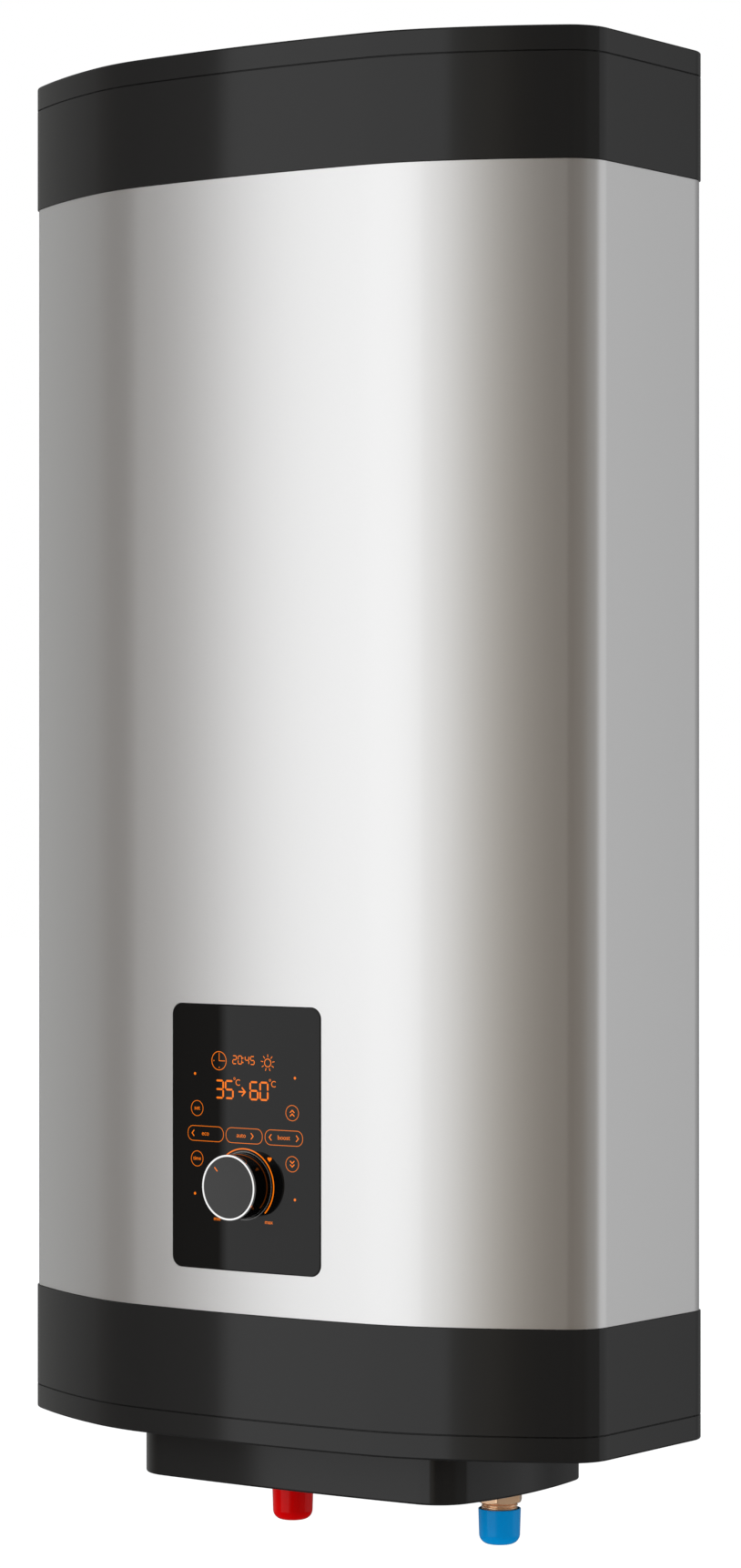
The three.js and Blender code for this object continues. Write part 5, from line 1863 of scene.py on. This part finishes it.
@dataclass
class Studio:
    """The camera, the floor, the lamps and the cards that the glossy surfaces mirror, in metres."""

    azimuth: float = 35.564
    camera_place: tuple[float, float, float] = (1.64827, -2.37912, -0.2849)
    focal: float = 4870.0  # pixels of a frame that is 1723 high
    frame_height: float = 1723.0
    horizon: float = 863.2  # pixels from the frame's top
    sensor: float = 36.0  # millimetres
    view_reach: float = 200.0
    floor_z: float = -1.75
    floor_reach: float = 30.0
    floor_steps: int = 25
    floor_colour: str = "#E6E6E6"
    floor_near: float = 2.5
    floor_far: float = 6.0
    floor_glow: tuple[float, float] = (0.2, 0.38)  # near and far
    surround: str = "#FFFFFF"
    daylight: str = "#EDEEEF"
    aim: tuple[float, float, float] = (0.0, -0.1, -0.3)  # the heater's middle, which the lamps face
    key_place: tuple[float, float, float] = (-2.3, -2.9, 0.2)
    key_power: float = 90.0
    key_size: float = 2.2
    fill_place: tuple[float, float, float] = (3.2, -1.6, -0.1)
    fill_power: float = 22.0
    fill_size: float = 1.6
    ceiling_z: float = 1.75
    card_radius: float = 3.0
    card_steps: int = 1441
    level_steps: int = 49
    neutral_height: float = 0.65  # above which the wall of cards is grey
    neutral_blend: float = 0.05  # height over which it turns grey
    flag_rise: float = 0.05  # of the lower level card over the floor
    level_card: str = "#4C4A48"
    stops: tuple[tuple[float, str], ...] = (
        (-110.0, "#A8A8A6"), (-98.0, "#929290"), (-81.5, "#888785"), (-69.0, "#716C67"),
        (-60.0, "#5E5852"), (-46.0, "#5D5751"), (-41.0, "#726D68"), (-37.5, "#7A7570"),
        (-36.5, "#FFFFFF"), (11.0, "#FFFFFF"), (12.0, "#C4C2BC"), (15.0, "#A8A298"),
        (19.5, "#9C9384"), (24.0, "#6A5D4A"), (28.0, "#4D402F"), (42.0, "#4F4335"),
        (52.0, "#60564A"), (70.0, "#62594E"), (84.0, "#7E7A74"), (109.0, "#807C77"),
        (111.0, "#C2C2C2"), (137.0, "#C2C2C2"), (142.0, "#B8B8B8"), (146.0, "#A0A0A0"),
        (150.0, "#888888"), (168.0, "#848484"), (178.0, "#707070"), (250.0, "#707070"),
    )  # bearings in degrees clockwise from the front, and the wall's colour there, set by test renders

    def build(self) -> None:
        """Sets the studio up."""
        self._camera()
        self._world()
        self._floor()
        self._card_wall()
        self._level_card("lower_flag", self.floor_z + self.flag_rise)
        self._level_card("upper_flag", self.ceiling_z)
        self._lamp("key_softbox", self.key_place, self.key_power, self.key_size)
        self._lamp("fill_softbox", self.fill_place, self.fill_power, self.fill_size)
        bpy.context.scene.view_settings.view_transform = "Standard"

    def _camera(self) -> None:
        """Stands a level camera where the picture was taken from."""
        camera = bpy.data.cameras.new("picture_camera")
        camera.sensor_width = self.sensor
        camera.lens = self.focal / self.frame_height * camera.sensor_width
        camera.shift_y = (self.horizon - self.frame_height / 2) / self.frame_height
        camera.clip_end = self.view_reach
        stand = put("picture_camera", camera)
        stand.location = self.camera_place
        stand.rotation_euler = (math.pi / 2, 0.0, math.radians(self.azimuth))
        bpy.context.scene.camera = stand

    def _seen(self, tree: bpy.types.NodeTree) -> bpy.types.NodeSocket:
        """Tells the rays that see the white surround from those that light the heater.

        Args:
            tree: The node tree to add to.

        Returns:
            1 for camera, glossy and transmission rays, and 0 for all others.
        """
        path = add_node(tree, "ShaderNodeLightPath")
        pair = {0: path.outputs["Is Camera Ray"], 1: path.outputs["Is Glossy Ray"]}
        either = add_node(tree, "ShaderNodeMath", pair, operation="MAXIMUM")
        pair = {0: either.outputs["Value"], 1: path.outputs["Is Transmission Ray"]}
        return add_node(tree, "ShaderNodeMath", pair, operation="MAXIMUM").outputs["Value"]

    def _world(self) -> None:
        """Gives a white surround to what is seen and mirrored, and a plain grey light to all else."""
        world = bpy.data.worlds.new("white_surround")
        tree = blank_tree(world)
        light, white = (
            add_node(tree, "ShaderNodeBackground", {"Color": linear(colour), "Strength": 1.0})
            for colour in (self.daylight, self.surround)
        )
        both = {0: self._seen(tree), 1: light.outputs["Background"], 2: white.outputs["Background"]}
        mixed = add_node(tree, "ShaderNodeMixShader", both)
        add_node(tree, "ShaderNodeOutputWorld", {"Surface": mixed.outputs["Shader"]})
        world.cycles.sampling_method = "NONE"
        bpy.context.scene.world = world

    def _floor(self) -> None:
        """Lays a pale floor that keeps the heater's shadow and pales to white with distance."""
        line = np.linspace(-self.floor_reach, self.floor_reach, self.floor_steps)
        x, y = np.meshgrid(line, line)
        mesh = bpy.data.meshes.new("studio_floor")
        points = np.stack([x, y, np.full_like(x, self.floor_z)], axis=-1).reshape(-1, 3)
        mesh.from_pydata(points, [], grid_faces(self.floor_steps, self.floor_steps).tolist())
        made = bpy.data.materials.new("pale_studio_floor")
        tree = blank_tree(made)
        where = add_node(tree, "ShaderNodeTexCoord")
        away = add_node(tree, "ShaderNodeVectorMath", {0: where.outputs["Object"]}, operation="LENGTH")
        limits = {"From Min": self.floor_near, "From Max": self.floor_far}
        limits |= {"To Min": self.floor_glow[0], "To Max": self.floor_glow[1]}
        share = add_node(tree, "ShaderNodeMapRange", {"Value": away.outputs["Value"], **limits})
        pair = {0: share.outputs["Result"], 1: self._seen(tree)}
        strength = add_node(tree, "ShaderNodeMath", pair, operation="MULTIPLY")
        matt = add_node(tree, "ShaderNodeBsdfDiffuse", {"Color": linear(self.floor_colour)})
        white = add_node(tree, "ShaderNodeEmission", {"Strength": strength.outputs["Value"]})
        both = add_node(tree, "ShaderNodeAddShader", {0: matt.outputs["BSDF"], 1: white.outputs["Emission"]})
        add_node(tree, "ShaderNodeOutputMaterial", {"Surface": both.outputs["Shader"]})
        made.cycles.emission_sampling = "NONE"
        mesh.materials.append(made)
        put("studio_floor", mesh)

    def _card_wall(self) -> None:
        """Stands a curved wall of graded cards round the heater: bearing by height.

        Between two stops the colour runs evenly. Above the reach of a level camera it is the grey of the
        same brightness, so that faces that look up stay neutral.
        """
        places = np.array([place for place, _ in self.stops])
        colours = np.array([linear(colour)[:3] for _, colour in self.stops])
        bearing = np.linspace(places[0], places[-1], self.card_steps)
        tint = np.stack([np.interp(bearing, places, channel) for channel in colours.T], axis=-1)
        grey = np.repeat(tint.mean(axis=1, keepdims=True), 3, axis=1)
        neutral = self.neutral_height
        height = [self.floor_z, neutral, neutral + self.neutral_blend, self.ceiling_z]
        turn = np.radians(bearing)
        x, y = self.card_radius * np.sin(turn), -self.card_radius * np.cos(turn)
        grid = np.stack(np.broadcast_arrays(x, y, np.array(height)[:, None]), axis=-1)
        self._mirrored("card_wall", grid, np.stack([tint, tint, grey, grey]))

    def _level_card(self, name: str, height: float) -> None:
        """Lays a dark level card, bearing by radius, so that the edges below and above stay dark.

        Args:
            name: The card's name.
            height: Its height.
        """
        bearing = np.linspace(0.0, TURN, self.level_steps)
        radius = np.array([[0.0], [self.card_radius]])
        x, y = radius * np.sin(bearing), -radius * np.cos(bearing)
        grid = np.stack([x, y, np.full_like(x, height)], axis=-1)
        self._mirrored(name, grid, np.broadcast_to(linear(self.level_card)[:3], grid.shape))

    def _mirrored(self, name: str, grid: np.ndarray, tint: np.ndarray) -> None:
        """Makes a bright sheet that only reflections see.

        Args:
            name: The sheet's name.
            grid: Its points in metres, row by column by axis.
            tint: The linear colour at each of them.
        """
        mesh = bpy.data.meshes.new(name)
        mesh.from_pydata(grid.reshape(-1, 3), [], grid_faces(*grid.shape[:2]).tolist())
        painted = mesh.color_attributes.new("card_tint", "FLOAT_COLOR", "POINT")
        opaque = np.concatenate([tint, np.ones((*tint.shape[:2], 1))], axis=-1)
        painted.data.foreach_set("color", opaque.astype(np.float32).ravel())
        made = bpy.data.materials.new(name)
        tree = blank_tree(made)
        paint = add_node(tree, "ShaderNodeAttribute", attribute_name="card_tint")
        light = add_node(tree, "ShaderNodeEmission", {"Color": paint.outputs["Color"], "Strength": 1.0})
        add_node(tree, "ShaderNodeOutputMaterial", {"Surface": light.outputs["Emission"]})
        made.cycles.emission_sampling = "NONE"
        mesh.materials.append(made)
        sheet = put(name, mesh)
        for ray in ("camera", "diffuse", "transmission", "volume_scatter", "shadow"):
            setattr(sheet, f"visible_{ray}", False)

    def _lamp(self, name: str, place: tuple[float, float, float], power: float, size: float) -> None:
        """Hangs a soft lamp that lights the heater's middle and shows in no reflection.

        Args:
            name: The lamp's name.
            place: Where it hangs.
            power: Its power in watts.
            size: Its diameter.
        """
        lamp = bpy.data.lights.new(name, "AREA")
        lamp.shape, lamp.size, lamp.energy = "DISK", size, power
        x, y, z = np.array(self.aim) - np.array(place)
        stand = put(name, lamp)
        stand.location = place
        stand.rotation_euler = (math.atan2(math.hypot(x, y), -z), 0.0, math.atan2(x, -y) + math.pi)
        stand.visible_glossy = False


def main() -> None:
    """Builds each part of the heater and its studio, in order."""
    logging.basicConfig(level=logging.INFO, format="%(name)s: %(message)s")
    casing = Casing()
    panel = ControlPanel(casing.plan)
    casing.build(panel.window())
    panel.build()
    Knob().build()
    WallBrackets().build()
    ServiceCover().build()
    for side in Side:
        WaterFitting(side).build()
    InnerParts().dress()
    Studio().build()


if __name__ == "__main__":
    main()
